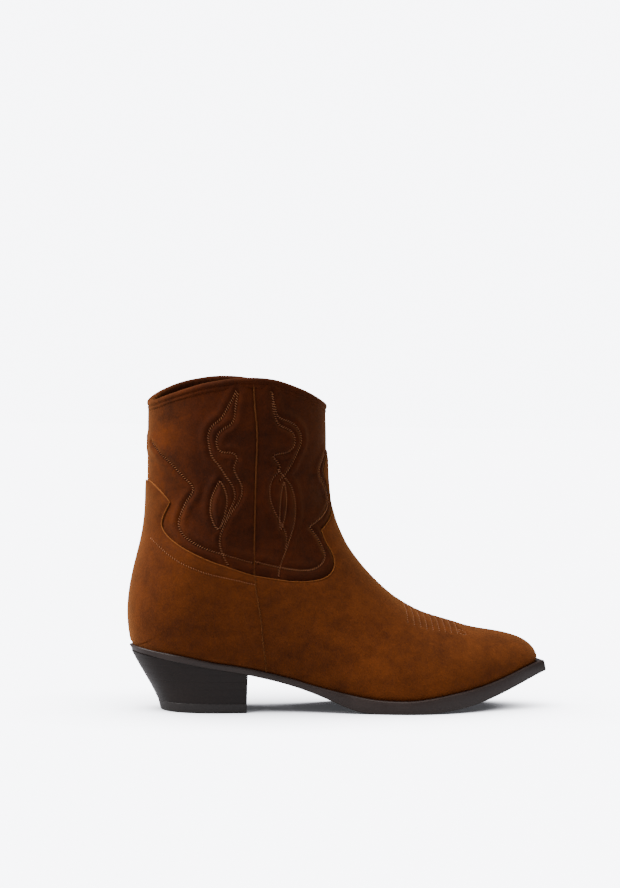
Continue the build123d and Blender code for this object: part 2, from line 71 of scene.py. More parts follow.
# slices from toe to top: low x and z, high x and z, outer and inner half width, share of
# the slice at which it is widest, squareness below and above that
STATIONS = np.array([
    (275, 24, 275, 36.4, 5.8, 5.8, 0.55, 2.6, 2),
    (273.6, 20, 273.6, 38.9, 9, 9, 0.55, 2.8, 2),
    (269, 16, 269, 43.2, 13.6, 13.9, 0.52, 3, 2),
    (260, 12, 260, 47.4, 18.8, 19.4, 0.48, 3, 2),
    (248, 8, 248, 50.3, 24.4, 26, 0.46, 3, 2),
    (232, 3.5, 232, 52.8, 31, 33, 0.42, 3, 2),
    (214, -0.5, 214, 57.5, 37.8, 40, 0.40, 3, 1.95),
    (196, -4, 196, 62.9, 42, 43.4, 0.36, 3, 1.9),
    (179, -6, 181, 70.5, 43, 41, 0.34, 3, 1.9),
    (162, -6.5, 170, 79, 41.2, 36.6, 0.34, 2.9, 1.9),
    (142, -3, 158.6, 89.5, 38, 33, 0.35, 2.8, 1.9),
    (119, 3, 149.2, 99.9, 35.6, 31.6, 0.39, 2.7, 1.95),
    (95, 10.5, 143.3, 107.9, 34.4, 31.6, 0.43, 2.6, 2),
    (69, 15.5, 139.6, 115, 34.2, 32.4, 0.46, 2.6, 2),
    (45, 18, 136.9, 121.3, 34.4, 33.4, 0.47, 2.6, 2),
    (24, 21, 134.9, 127.5, 34.8, 33.8, 0.47, 2.6, 2),
    (8, 31, 133.4, 133.5, 35.4, 34.6, 0.46, 2.5, 2),
    (1.3, 48, 132.3, 139.5, 36, 35.4, 0.45, 2.35, 2),
    (-0.2, 67, 131.3, 146.5, 36.6, 36.2, 0.45, 2.25, 2),
    (2.1, 87, 130.5, 155, 37.4, 37, 0.46, 2.15, 2),
    (6.8, 108, 129.9, 165, 38.2, 38, 0.47, 2.1, 2),
    (9.8, 130, 129.3, 176, 39, 39, 0.49, 2.1, 2.05),
    (9.8, 152, 128.7, 187, 39.8, 39.8, 0.5, 2.1, 2.1),
    (9.6, 176, 128.1, 200, 40.6, 40.6, 0.5, 2.1, 2.1),
    (9.8, 228, 127.4, 228, 41.2, 41.2, 0.5, 2.1, 2.1),
])
# side view lines, as x and z: where upper meets sole, the top line, seams and edges
FEATHER = [
    (-8, 44.8), (1, 43), (14, 40.3), (31, 37.3), (48, 33.7), (66, 30.8), (84, 27.2),
    (101, 22.9), (118, 17.8), (135, 13.6), (150, 10.4), (165, 8.9), (182, 9.1),
    (202, 11.9), (224, 15.7), (247, 22), (266, 28.4), (277.3, 31.2), (292, 34),
]
RIM = [
    (-6, 190), (9.6, 198.4), (18, 202.8), (28, 206.9), (38, 210.2), (49, 212.5),
    (58, 213.9), (69, 214.6), (77, 214.4), (85, 213.5), (93, 211.6), (102, 208.8),
    (111.5, 205.4), (120, 201.6), (128, 198), (142, 191),
]
SHAFT_SEAM = [(70, 222), (70.4, 211.6), (72.1, 193.9), (73.4, 183.1), (73.8, 158.3),
              (74.1, 131.4), (74.7, 100), (75, 89)]
FOOT_SEAM = [(75, 89), (75.3, 83.5), (79.4, 61.9), (81.8, 44.6), (85.1, 28.2), (88, 5)]
VAMP_LOBE = [(75, 89), (90, 86.7), (104, 85.2), (116.6, 86), (126.4, 89.6), (130.6, 96.4),
             (129.3, 103.2), (125, 110.6), (122.2, 117.8)]
VAMP_NECK = [(122.2, 117.8), (127.8, 122.8), (132.2, 129.4), (132.3, 135.6)]
VAMP_TONGUE = [(132.3, 135.6), (130.6, 141.5), (127.4, 148.6), (125, 155.7),
               (126.2, 162), (130.5, 168.6), (136, 172)]
COUNTER_SWEEP = [(75, 89), (65, 91.9), (55, 95.1), (45.3, 98.4), (35.8, 102.5), (26.7, 107.6),
                 (20, 113), (16.4, 118.6), (16.3, 123.4), (18, 129), (20.6, 135.4)]
COUNTER_PEAK = [(20.6, 135.4), (17.2, 139.8), (10.6, 147.6), (0, 158)]
SHAFT_FOOT = [(-8, 98), (20, 91.5), (45, 84), (74, 76.5), (95, 73.5), (116, 75.5),
              (134, 86), (150, 102), (158, 114)]

# decorative rows on each side of the shaft
REAR_ROW = [(10.5, 172.5), (14.8, 165.4), (19.1, 161.2), (24.5, 155.3), (29.4, 150.2),
            (34, 144.4), (30.5, 136.8), (27.3, 129.5), (25.5, 122.6), (26.6, 117.4),
            (30.6, 112.8), (37.4, 108.5), (44.5, 105.6), (53.5, 103), (62.7, 100.4), (73.6, 97.6)]
FRONT_ROW = [(74.6, 98.4), (85.5, 95.9), (93.1, 94.4), (104.6, 92.7), (114.2, 93.1),
             (121.2, 96.5), (124.1, 101.7), (122.6, 107), (119.2, 113.3), (113.4, 120.2)]
FRONT_ROW_UP = [(113.4, 120.2), (118.5, 123.2), (125.5, 128.4), (129.4, 135), (128.6, 141.6),
                (124.5, 149.2), (120.7, 155.8), (122.4, 161), (125.4, 167)]
REAR_OUTER = [(59.5, 207.4), (56.4, 200.7), (53, 194.4), (49.7, 189), (45.4, 185.4), (43, 181.7),
              (42.2, 176.3), (43.2, 171), (45, 164.9), (48.5, 160.5), (54.9, 151.7),
              (59.6, 144.2), (60.4, 139.5), (58.1, 132.9), (54.7, 125.8), (51.2, 120.4)]
REAR_INNER = [(60.4, 206), (58.8, 193.6), (57.6, 187.2), (50.7, 181.9), (47.9, 178),
              (47.6, 173.4), (49.8, 168.6), (59.9, 166.5), (61, 163.4), (59.2, 159.3),
              (59.8, 155.4), (63, 150), (65, 144.6), (64.2, 139.3), (60.8, 133), (56.5, 126.7),
              (53.5, 120.4), (51.4, 114), (51.6, 108.6), (53.2, 103.6), (55.2, 99.6), (57.6, 95.9)]
REAR_LEAF = [(50.5, 149.8), (54.3, 142.7), (55.3, 135.6), (53.8, 127.6), (50, 119),
             (45.8, 125.7), (44.8, 133.7), (46.4, 141.7), (50.5, 149.8)]
FRONT_OUTER = [(82.4, 207.4), (85.4, 197), (87.6, 191.3), (96.6, 187.8), (101.6, 184.2),
               (104.6, 179.7), (105.1, 175.1), (102.7, 168.8), (99.9, 163.2), (97, 158.1),
               (90.4, 150)]
FRONT_STRAND = [(88.6, 157.6), (93.2, 152.7), (98.4, 147.3), (101.6, 139.9), (102.9, 132.7),
                (102.6, 125.5), (101.3, 119.1), (98.2, 110.2), (95.2, 102.2), (92.4, 95.4),
                (91.3, 88.4)]
FRONT_INNER = [(83.4, 206.4), (86, 190), (89, 185.6), (95, 183.2), (99.4, 179.6), (100.4, 175.2),
               (97.2, 169.4), (85.2, 165.4), (88.6, 161.4), (90.3, 157.6), (87.3, 153.7),
               (84.1, 148.2), (83.8, 142.6), (85.2, 135.6), (88.4, 129.3), (92.5, 123),
               (95.7, 117.4), (96.9, 112.6), (95.6, 105.6)]
FRONT_LEAF = [(93.6, 149.5), (95.6, 142), (96, 133), (94.8, 124.6), (92.6, 118.6),
              (91.6, 126), (91.6, 134.6), (92.2, 142.6), (93.6, 149.5)]
COUNTER_ROW = [(10.6, 112), (17.5, 104.2), (24.6, 98.5), (33.1, 94.3), (42.8, 90.8), (57.2, 87.4),
               (75.4, 83.4)]

# underside in side view (x, z), sole outline in plan (x, y),
# heel and top lift slices (height, back x, half width)
SOLE_UNDERSIDE = [
    (290, 27), (280, 24.4), (271, 21.3), (247, 12.3), (224, 5.2), (202, 1.5), (182, 0), (163, 0),
    (146, 1.3), (132, 6.3), (118.5, 12), (101, 18), (84, 22.4), (66, 26.1), (48, 29.2),
    (31, 32.6), (14, 35.8), (3.2, 38.1), (-6, 40),
]
SOLE_EDGE = [
    (280, -10.6), (269.5, -15.8), (260, -20.7), (248, -26.3), (232, -32.8),
    (214, -39.2), (196, -43.4), (179, -44), (163, -41.5), (144.6, -37), (123, -32.2),
    (101, -28.9), (78, -28.3), (57.6, -28.8), (39, -29), (25, -27.2), (12, -21),
    (3.6, -12), (0.6, 0), (3.6, 12), (12, 20.6), (25, 26.6), (39, 28.2), (57.6, 27.8),
    (78, 26.8), (101, 26.4), (123, 28.4), (144.6, 32.2), (163, 37), (179.4, 42.2),
    (196, 44.6), (214, 41.2), (232, 34.8), (248, 27.8), (260, 21.3), (269.5, 16),
    (280, 10.6),
]
HEEL_SLICES = [(46, -1.5, 29.4), (28, 8.6, 28), (14, 17, 26.8), (6.2, 21, 26.2)]
LIFT_SLICES = [(6.2, 21, 26.2), (0, 22.8, 25.6)]
BREAST_X = 73.3
BREAST_HOLLOW = 2.0
LIFT_TOP_Z = 6.2


def to_frame(points):
    """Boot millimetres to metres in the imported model's frame."""
    return np.asarray(points, float) * MM + (HEEL_BULGE * MM + CAD_LOW.x, 0, CAD_LOW.z)


# ---- small helpers
def unit(vectors):
    """The same directions at length one."""
    return vectors / np.maximum(np.linalg.norm(vectors, axis=-1, keepdims=True), 1e-9)


def bell(gap, width):
    """1 on a line, fading to nothing over about twice the width."""
    return np.exp(-((gap / width) ** 2))


def softened(values, times):
    """Open run of values with its bumps evened out and its ends kept."""
    for _ in range(times):
        values[1:-1] = 0.5 * values[1:-1] + 0.25 * (values[:-2] + values[2:])
    return values


def softened_ring(values, times):
    """Closed run of values with its bumps evened out."""
    for _ in range(times):
        values = 0.5 * values + 0.25 * (np.roll(values, 1, 0) + np.roll(values, -1, 0))
    return values


def grid_faces(rows, columns, wrap_rows=False, wrap_columns=True):
    """Faces of a grid of points, its last row or column joined to its first where asked."""
    faces = []
    for r in range(rows if wrap_rows else rows - 1):
        here, after = r * columns, (r + 1) % rows * columns
        for k in range(columns if wrap_columns else columns - 1):
            n = (k + 1) % columns
            faces.append((here + k, here + n, after + n, after + k))
    return faces


def tube_faces(rings, sides):
    """Faces of a tube with both ends closed."""
    last = (rings - 1) * sides
    ends = [tuple(range(sides))[::-1], tuple(range(last, last + sides))]
    return grid_faces(rings, sides) + ends


def joined(parts):
    """One mesh from several."""
    points, faces, count = [], [], 0
    for part_points, part_faces in parts:
        points.append(part_points)
        faces.extend(tuple(p + count for p in face) for face in part_faces)
        count += len(part_points)
    return np.concatenate(points), faces


def finder(points):
    """Search tree for the nearest of many points."""
    tree = KDTree(len(points))
    for index, point in enumerate(points):
        tree.insert(point, index)
    tree.balance()
    return tree


# ---- curves
def natural_spline(knots, values, at):
    """Smooth curve through rows of values at knots, read at the places asked for."""
    knots, values, at = (np.asarray(item, float) for item in (knots, values, at))
    count = len(knots)
    gap = np.diff(knots)
    system = np.eye(count)
    right = np.zeros_like(values)
    slope = np.diff(values, axis=0) / gap[:, None]
    for i in range(1, count - 1):
        system[i, i - 1 : i + 2] = gap[i - 1], 2 * (gap[i - 1] + gap[i]), gap[i]
        right[i] = 6 * (slope[i] - slope[i - 1])
    bend = np.linalg.solve(system, right)
    i = np.clip(np.searchsorted(knots, at) - 1, 0, count - 2)
    h = gap[i][:, None]
    left = (knots[i + 1] - at)[:, None]
    here = (at - knots[i])[:, None]
    return (
        bend[i] * left**3 / (6 * h)
        + bend[i + 1] * here**3 / (6 * h)
        + (values[i] / h - bend[i] * h / 6) * left
        + (values[i + 1] / h - bend[i + 1] * h / 6) * here
    )


def along(points):
    """Distance run along a line at each of its points."""
    steps = np.linalg.norm(np.diff(points, axis=0), axis=1)
    return np.concatenate([[0], np.cumsum(steps)])


def read_off(values, run, at):
    """Rows of values known at each distance run, read at other distances."""
    return np.stack([np.interp(at, run, column) for column in values.T], -1)


def smooth_line(points, step=0.8):
    """Even points on a smooth line through the given ones."""
    run = along(points)
    count = max(3, int(run[-1] / step))
    return natural_spline(run, points, np.linspace(0, run[-1], count))


def even(points, count):
    """The same line with count evenly spaced points."""
    run = along(points)
    return read_off(points, run, np.linspace(0, run[-1], count))


def reader(line):
    """Function that reads a line's second value at any first one."""
    return lambda at: np.interp(at, line[:, 0], line[:, 1])


feather_at = reader(smooth_line(FEATHER))
rim_at = reader(smooth_line(RIM))
underside_at = reader(smooth_line(SOLE_UNDERSIDE)[::-1])
seam_at = reader(smooth_line(SHAFT_SEAM + FOOT_SEAM[1:])[::-1, ::-1])


# ---- skin of the boot
ROW_STEP = 0.8
HALF_COLUMNS = 220
ARC_STEPS = 160
CAP_ROWS = 8
CAP_BULGE = 0.9            # how far the toe end is rounded out
LOW_SHARE = 0.65           # rows are spaced by the low line this much, else by the high line


def slice_side(station, side):
    """One side of a slice, lowest to highest point, as x, y, z."""
    low_x, low_z, high_x, high_z, outer, inner, widest, square_low, square_high = station
    length = math.hypot(high_x - low_x, high_z - low_z)
    ux, uz = (high_x - low_x) / length, (high_z - low_z) / length
    angle = np.linspace(0, math.pi, ARC_STEPS)
    level = np.cos(angle)
    square = np.where(level > 0, square_low, square_high)
    span = np.where(level > 0, widest * length, (1 - widest) * length)
    rise = widest * length - np.sign(level) * span * np.abs(level) ** (2 / square)
    width = outer if side < 0 else inner
    y = side * width * np.abs(np.sin(angle)) ** (2 / square)
    return np.stack([low_x + ux * rise, y, low_z + uz * rise], 1)


def above_feather(points):
    """The part of a slice side that stands above the sole, less the tuck."""
    gap = points[:, 2] - (feather_at(points[:, 0]) - TUCK)
    below = np.where(gap < 0)[0]
    if len(below) == 0:
        return points
    last = below[-1]
    share = gap[last] / (gap[last] - gap[last + 1])
    start = points[last] + share * (points[last + 1] - points[last])
    return np.concatenate([[start], points[last + 1:]])


def boot_skin():
    """Grid of the outside of the boot: rows from toe to top, columns from the
    outer edge of the sole over the foot to the inner edge."""
    knots = LOW_SHARE * along(STATIONS[:, 0:2]) + (1 - LOW_SHARE) * along(STATIONS[:, 2:4])
    places = np.linspace(0, knots[-1], int(knots[-1] / ROW_STEP))
    skin = []
    for station in natural_spline(knots, STATIONS, places):
        outer, inner = (even(above_feather(slice_side(station, side)), HALF_COLUMNS + 1)
                        for side in SIDES)
        skin.append(np.concatenate([outer, inner[::-1][1:]]))
    first = skin[0]
    toe_x = STATIONS[0, 0]
    centre = np.array([first[:, 0].mean() + CAP_BULGE, 0, feather_at(toe_x) - TUCK])
    cap = []
    for k in range(CAP_ROWS):
        share = math.sin(0.5 * math.pi * k / CAP_ROWS)
        ring = centre + (first - centre) * share
        ring[:, 0] = first[:, 0] + CAP_BULGE * math.sqrt(max(0, 1 - share**2))
        cap.append(ring)
    return np.array(cap + skin)


def normals_of(grid):
    """Outward normals of the skin grid."""
    normal = unit(np.cross(np.gradient(grid, axis=1), np.gradient(grid, axis=0)))
    first = CAP_ROWS + 2
    normal[:first] = normal[first] * 0.5 + np.array([0.5, 0, 0])
    normal = unit(normal)
    if normal[len(normal) // 2, HALF_COLUMNS, 0] < 0:
        normal = -normal
    # above the heel the two edges of the grid meet at the back, so they share a normal
    closed = np.abs(grid[:, 0, 1]) < 0.05
    shared = unit((normal[:, 0] + normal[:, -1]) * SIDE_VIEW)
    normal[closed, 0] = shared[closed]
    normal[closed, -1] = shared[closed]
    return normal


SKIN = boot_skin()
NORMAL = normals_of(SKIN)
ROWS, COLUMNS = SKIN.shape[:2]
X_GRID, Z_GRID = SKIN[:, :, 0], SKIN[:, :, 2]


# ---- lines laid on the skin
HALVES = {-1: np.s_[:, : HALF_COLUMNS + 1], 1: np.s_[:, HALF_COLUMNS:]}
SKIN_SIDE = {side: SKIN[half].reshape(-1, 3) for side, half in HALVES.items()}
NORMAL_SIDE = {side: NORMAL[half].reshape(-1, 3) for side, half in HALVES.items()}
TREES = {side: finder(points * SIDE_VIEW) for side, points in SKIN_SIDE.items()}


def lay(line, side, inset):
    """A side view line laid on one side of the skin, moved inward by inset."""
    points, normals = [], []
    for x, z in smooth_line(line):
        near = TREES[side].find_n((x, 0, z), 6)
        picks = [item[1] for item in near]
        weights = np.array([1 / (item[2] + 0.05) for item in near])
        weights /= weights.sum()
        points.append(weights @ SKIN_SIDE[side][picks])
        normals.append(weights @ NORMAL_SIDE[side][picks])
    normals = unit(np.array(normals))
    return softened(np.array(points), 3) - inset * normals, normals


def lay_both(lines, inset):
    """Lines laid on both sides of the boot."""
    return [lay(line, side, inset) for line in lines for side in SIDES]


def away_from(laid, where):
    """Distance of every listed point from the nearest of the laid lines."""
    tree = finder(np.concatenate([line for line, _normals in laid]))
    return np.array([tree.find(point)[2] for point in where])


def inside_by(points, outline):
    """Signed distance to a closed side view outline, positive inside."""
    nearest = np.full(len(points), 1e9)
    odd = np.zeros(len(points), bool)
    for a, b in zip(outline, np.roll(outline, -1, axis=0)):
        edge = b - a
        size = edge @ edge
        if size < 1e-12:
            continue
        share = np.clip(((points - a) @ edge) / size, 0, 1)
        gap = points - a - share[:, None] * edge
        nearest = np.minimum(nearest, (gap**2).sum(1))
        if a[1] != b[1]:
            crosses = (a[1] > points[:, 1]) != (b[1] > points[:, 1])
            at = a[0] + (points[:, 1] - a[1]) * edge[0] / edge[1]
            odd ^= crosses & (points[:, 0] < at)
    return np.where(odd, 1, -1) * np.sqrt(nearest)


def inside_grid(*parts):
    """How far each grid point is inside an outline of smooth runs (three points or more)
    and straight ones."""
    runs = [smooth_line(part, 1.0) if len(part) > 2 else np.array(part, float) for part in parts]
    side_view = SKIN[:, :, [0, 2]].reshape(-1, 2)
    return inside_by(side_view, np.concatenate(runs)).reshape(ROWS, COLUMNS)


# ---- cutting pieces from the skin
def cut_from_skin(surface, keep):
    """Points, faces and border edges of the part of a grid where keep is above nothing."""
    number = np.arange(keep.size).reshape(keep.shape)
    flat = surface.reshape(-1, 3)
    level = keep.reshape(-1)
    corners = np.stack([number[:-1, :-1], number[:-1, 1:], number[1:, 1:], number[1:, :-1]], -1)
    corners = corners.reshape(-1, 4)
    held = (level[corners] > 0).sum(1)
    faces = [tuple(face) for face in corners[held == 4].tolist()]
    extra, made, border = [], {}, []

    def crossing(a, b):
        key = (a, b) if a < b else (b, a)
        if key not in made:
            share = min(max(level[a] / (level[a] - level[b]), 0.02), 0.98)
            made[key] = len(flat) + len(extra)
            extra.append(flat[a] + share * (flat[b] - flat[a]))
        return made[key]

    for quad in corners[(held > 0) & (held < 4)].tolist():
        ring = []
        for a, b in zip(quad, quad[1:] + quad[:1]):
            if level[a] > 0:
                ring.append(a)
            if (level[a] > 0) != (level[b] > 0):
                ring.append(crossing(a, b))
        faces.append(tuple(ring))
        cuts = [p for p in ring if p >= len(flat)]
        for point, after in zip(ring, ring[1:] + ring[:1]):
            if point >= len(flat) and after >= len(flat) and len(cuts) == 2:
                border.append((point, after))
    points = np.concatenate([flat, np.array(extra)]) if extra else flat
    used = np.unique(np.concatenate([np.array(face) for face in faces]))
    renumber = np.full(len(points), -1)
    renumber[used] = np.arange(len(used))
    faces = [tuple(renumber[list(face)].tolist()) for face in faces]
    border = [(int(renumber[a]), int(renumber[b])) for a, b in border]
    return points[used], faces, border


def put(name, data):
    """New object in the scene."""
    made = bpy.data.objects.new(name, data)
    bpy.context.scene.collection.objects.link(made)
    return made


def make_piece(name, points, faces, materials, slot, replaced=(), face_slots=None):
    """Piece of the boot from boot millimetres, with the CAD nodes it replaces. Its slot is not
    used.
    """
    mesh = bpy.data.meshes.new(name)
    mesh.from_pydata(to_frame(points).tolist(), [], faces)
    for material in materials:
        mesh.materials.append(material)
    if face_slots is not None:
        mesh.polygons.foreach_set("material_index", face_slots)
    mesh.polygons.foreach_set("use_smooth", [True] * len(mesh.polygons))
    mesh.update()
    piece = put(name, mesh)
    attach(piece, "root")
    if replaced:
        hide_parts(*replaced)
    return piece


def leather_piece(node_name, surface, keep, thickness, material, slot):
    """Skin piece with a real cut edge: outer face and the edge wall behind it, the wall in a
    lighter suede as a painted highlight.
    """
    points, faces, border = cut_from_skin(surface, keep)
    inner = cut_from_skin(surface - thickness * NORMAL, keep)[0]
    on_border = sorted({p for edge in border for p in edge})
    place = {p: len(points) + k for k, p in enumerate(on_border)}
    face_slots = [0] * len(faces) + [1] * len(border)
    faces += [(b, a, place[a], place[b]) for a, b in border]
    return make_piece(f"{node_name}_skin", np.concatenate([points, inner[on_border]]), faces,
                      [material, EDGE_HIGHLIGHT_SUEDE], slot, [node_name], face_slots)


# ---- shader groups
def new_group(name, inputs, outputs):
    """Empty shader group with named sockets."""
    group = bpy.data.node_groups.new(name, "ShaderNodeTree")
    for label, kind, default in inputs:
        socket = group.interface.new_socket(name=label, in_out="INPUT",
                                            socket_type=f"NodeSocket{kind}")
        socket.default_value = default
    for label, kind in outputs:
        group.interface.new_socket(name=label, in_out="OUTPUT", socket_type=f"NodeSocket{kind}")
    return group, group.nodes.new("NodeGroupInput").outputs, group.nodes.new("NodeGroupOutput")


def fill(tree, made, inputs):
    """Give a node's inputs their links or values."""
    for place, value in inputs.items():
        if isinstance(value, bpy.types.NodeSocket):
            tree.links.new(value, made.inputs[place])
        else:
            made.inputs[place].default_value = value
    return made


def node(tree, kind, inputs=None, **settings):
    """Shader node with its settings and its links or values."""
    made = tree.nodes.new(kind)
    for key, value in settings.items():
        setattr(made, key, value)
    return fill(tree, made, inputs or {})


def noise(tree, where, scale, detail=3.0, rough=0.55, warp=0.0):
    return node(tree, "ShaderNodeTexNoise",
                {"Vector": where, "Scale": scale, "Detail": detail, "Roughness": rough,
                 "Distortion": warp}).outputs["Fac"]


def spread(tree, value, low, high, to_low=0.0, to_high=1.0):
    return node(tree, "ShaderNodeMapRange",
                {"Value": value, "From Min": low, "From Max": high, "To Min": to_low,
                 "To Max": to_high}).outputs["Result"]


def mix(tree, share, first, second, blend="MIX"):
    return node(tree, "ShaderNodeMix", {0: share, 6: first, 7: second}, data_type="RGBA",
                blend_type=blend).outputs[2]


def maths(tree, operation, first, second):
    return node(tree, "ShaderNodeMath", {0: first, 1: second}, operation=operation).outputs[0]


def weighed(tree, *pairs):
    """Sum of values, each times its weight."""
    parts = [maths(tree, "MULTIPLY", value, weight) for value, weight in pairs]
    total = parts[0]
    for part in parts[1:]:
        total = maths(tree, "ADD", total, part)
    return total


def suede_nap_group():
    """Brushed suede: cloudy nap marks, tufts, short streaks and fibre."""
    group, given, out = new_group(
        "SuedeNap",
        [("Deep", "Color", (0.1, 0.04, 0.01, 1)), ("Raised", "Color", (0.3, 0.12, 0.04, 1)),
         ("Cloud Scale", "Float", 26.0), ("Cloud Depth", "Float", 0.7)],
        [("Color", "Color"), ("Roughness", "Float"), ("Height", "Float")],
    )
    where = node(group, "ShaderNodeTexCoord").outputs["Object"]
    pulled = node(group, "ShaderNodeMapping", {"Vector": where, "Scale": (0.85, 1.0, 1.15)})
    pulled = pulled.outputs[0]
    broad = spread(group, noise(group, pulled, given["Cloud Scale"], 2.0, 0.5, 0.8), 0.33, 0.67)
    finer = maths(group, "MULTIPLY", given["Cloud Scale"], 4.3)
    patch = spread(group, noise(group, pulled, finer, 2.0, 0.5, 0.5), 0.3, 0.7)
    brushed = node(group, "ShaderNodeMapping", {"Vector": where, "Rotation": (0, 0.5, 0),
                                                "Scale": (1.0, 1.0, 0.4)}).outputs[0]
    streak = spread(group, noise(group, brushed, 420.0, 3.0, 0.6), 0.3, 0.72)
    fibre = noise(group, where, 2600.0, 2.0, 0.7)
    speck = spread(group, noise(group, where, 900.0, 4.0, 0.65), 0.3, 0.72)
    tuft = spread(group, noise(group, where, 330.0, 3.0, 0.6), 0.32, 0.7, -0.11, 0.11)
    cloud = maths(group, "ADD", weighed(group, (broad, 0.5), (patch, 0.5)), tuft)
    nap = weighed(group, (cloud, given["Cloud Depth"]), (streak, 0.06), (speck, 0.34))
    colour = mix(group, nap, given["Deep"], given["Raised"])
    shade = spread(group, fibre, 0.25, 0.75, 0.66, 1.24)
    grey = node(group, "ShaderNodeCombineColor", {0: shade, 1: shade, 2: shade}).outputs[0]
    fill(group, out, {
        "Color": mix(group, 1.0, colour, grey, "MULTIPLY"),
        "Roughness": spread(group, streak, 0, 1, 0.86, 0.98),
        "Height": weighed(group, (fibre, 0.6), (speck, 0.4)),
    })
    return group


def worn_grain_group():
    """Smooth dyed leather, board or rubber: soft blotches, fine grain and rubbed streaks."""
    group, given, out = new_group(
        "WornGrain",
        [("Base", "Color", (0.05, 0.04, 0.04, 1)), ("Rubbed", "Color", (0.12, 0.1, 0.09, 1)),
         ("Grain Scale", "Float", 900.0), ("Stretch", "Vector", (1.0, 1.0, 1.0))],
        [("Color", "Color"), ("Roughness", "Float"), ("Height", "Float")],
    )
    where = node(group, "ShaderNodeTexCoord").outputs["Object"]
    pulled = node(group, "ShaderNodeVectorMath", {0: where, 1: given["Stretch"]},
                  operation="MULTIPLY").outputs[0]
    blotch = spread(group, noise(group, where, 40.0, 4.0, 0.6), 0.35, 0.7)
    grain = noise(group, pulled, given["Grain Scale"], 3.0, 0.6)
    rubbed = weighed(group, (blotch, 0.55), (spread(group, grain, 0.35, 0.7), 0.3))
    fill(group, out, {
        "Color": mix(group, rubbed, given["Base"], given["Rubbed"]),
        "Roughness": spread(group, rubbed, 0, 1, 0.3, 0.5),
        "Height": grain,
    })
    return group


SUEDE_NAP = suede_nap_group()
WORN_GRAIN = worn_grain_group()


# ---- materials
def start_material(name):
    material = bpy.data.materials.new(name)
    material.use_nodes = True
    return material, material.node_tree, material.node_tree.nodes["Principled BSDF"]


def bumped(tree, height, strength, distance):
    return node(tree, "ShaderNodeBump", {"Height": height, "Strength": strength,
                                         "Distance": distance}).outputs["Normal"]


def suede(name, deep, raised, cloud_scale=60.0, cloud_depth=0.5, sheen=0.35, back=None,
          reach=None):
    """Napped suede with a soft light edge where the nap is seen from the side. back is
    what its colour is multiplied by at the first x of reach, fading to 1 at the second."""
    material, tree, shader = start_material(name)
    nap = node(tree, "ShaderNodeGroup",
               {"Deep": (*deep, 1), "Raised": (*raised, 1), "Cloud Scale": cloud_scale,
                "Cloud Depth": cloud_depth}, node_tree=SUEDE_NAP).outputs
    colour = nap["Color"]
    if back:
        place = node(tree, "ShaderNodeTexCoord").outputs["Object"]
        ahead_of = node(tree, "ShaderNodeSeparateXYZ", {0: place}).outputs["X"]
        share = spread(tree, ahead_of, reach[0], reach[1], 1.0, 0.0)
        colour = mix(tree, share, colour, mix(tree, 1.0, colour, (*back, 1), "MULTIPLY"))
    fill(tree, shader, {
        "Base Color": colour, "Roughness": nap["Roughness"],
        "Normal": bumped(tree, nap["Height"], 0.55, 0.00025),
        "Sheen Weight": sheen, "Sheen Roughness": 0.45, "Sheen Tint": (0.9, 0.36, 0.1, 1),
        "Specular IOR Level": 0.12,
    })
    return material


def grained(name, base, rubbed, rough=1.0, grain=900.0, stretch=(1, 1, 1), bump=0.3,
            coat=0.0, metallic=0.0, shine=0.5):
    """Smooth leather, board, cork, metal or rubber with fine grain and rub marks."""
    material, tree, shader = start_material(name)
    worn = node(tree, "ShaderNodeGroup",
                {"Base": (*base, 1), "Rubbed": (*rubbed, 1), "Grain Scale": grain,
                 "Stretch": stretch}, node_tree=WORN_GRAIN).outputs
    scaled = node(tree, "ShaderNodeMath", {0: worn["Roughness"], 1: rough},
                  operation="MULTIPLY", use_clamp=True).outputs[0]
    fill(tree, shader, {
        "Base Color": worn["Color"], "Roughness": scaled,
        "Normal": bumped(tree, worn["Height"], bump, 0.0002),
        "Metallic": metallic, "Coat Weight": coat, "Coat Roughness": 0.3,
        "Specular IOR Level": shine,
    })
    return material


# x range over which the shaft suede is lightened towards the back of the boot: painted light from
# behind
SHAFT_PAINTED_BACKLIGHT = (-0.131, -0.104)
FOOT_DARKENS = (-0.10, 0.12)
FOOT_SUEDE = suede("foot_suede", (0.050, 0.0104, 0.0013), (0.182, 0.0445, 0.0070),
                   26.0, 0.66, 0.35, (0.70, 0.66, 0.56), FOOT_DARKENS)
# the shaft's colour is multiplied up towards its back edge: painted light from behind
SHAFT_SUEDE = suede("shaft_suede", (0.012, 0.0018, 0.0002), (0.063, 0.0110, 0.0011),
                    24.0, 0.72, 0.3, (2.1, 2.5, 2.6), SHAFT_PAINTED_BACKLIGHT)
# lighter suede for cut edges and the beads along them: a painted highlight where the edges catch
# the light
EDGE_HIGHLIGHT_SUEDE = suede("edge_highlight_suede", (0.12, 0.034, 0.007), (0.27, 0.088, 0.019))
PIPING_SUEDE = suede("piping_suede", (0.045, 0.011, 0.0020), (0.13, 0.038, 0.0075))
THREAD = grained("thread", (0.18, 0.056, 0.014), (0.34, 0.125, 0.036), 1.6, 3000.0, bump=0.4)
LINING = grained("lining", (0.030, 0.018, 0.012), (0.065, 0.040, 0.026), 1.5, 1400.0)
SOCK = grained("sock", (0.045, 0.027, 0.017), (0.09, 0.055, 0.035), 1.4, 1100.0)
PAD = grained("pad", (0.05, 0.033, 0.024), (0.10, 0.068, 0.045), 1.7, 700.0, bump=0.5)
SOLE = grained("sole", (0.026, 0.0165, 0.0142), (0.048, 0.0335, 0.0295), 1.1, 600.0,
               (0.5, 0.5, 2.5), 0.1, coat=0.04, shine=0.3)
HEEL = grained("heel", (0.008, 0.0045, 0.0036), (0.018, 0.0112, 0.0094), 1.1, 520.0,
               (0.5, 0.5, 3.0), 0.08, coat=0.03, shine=0.25)
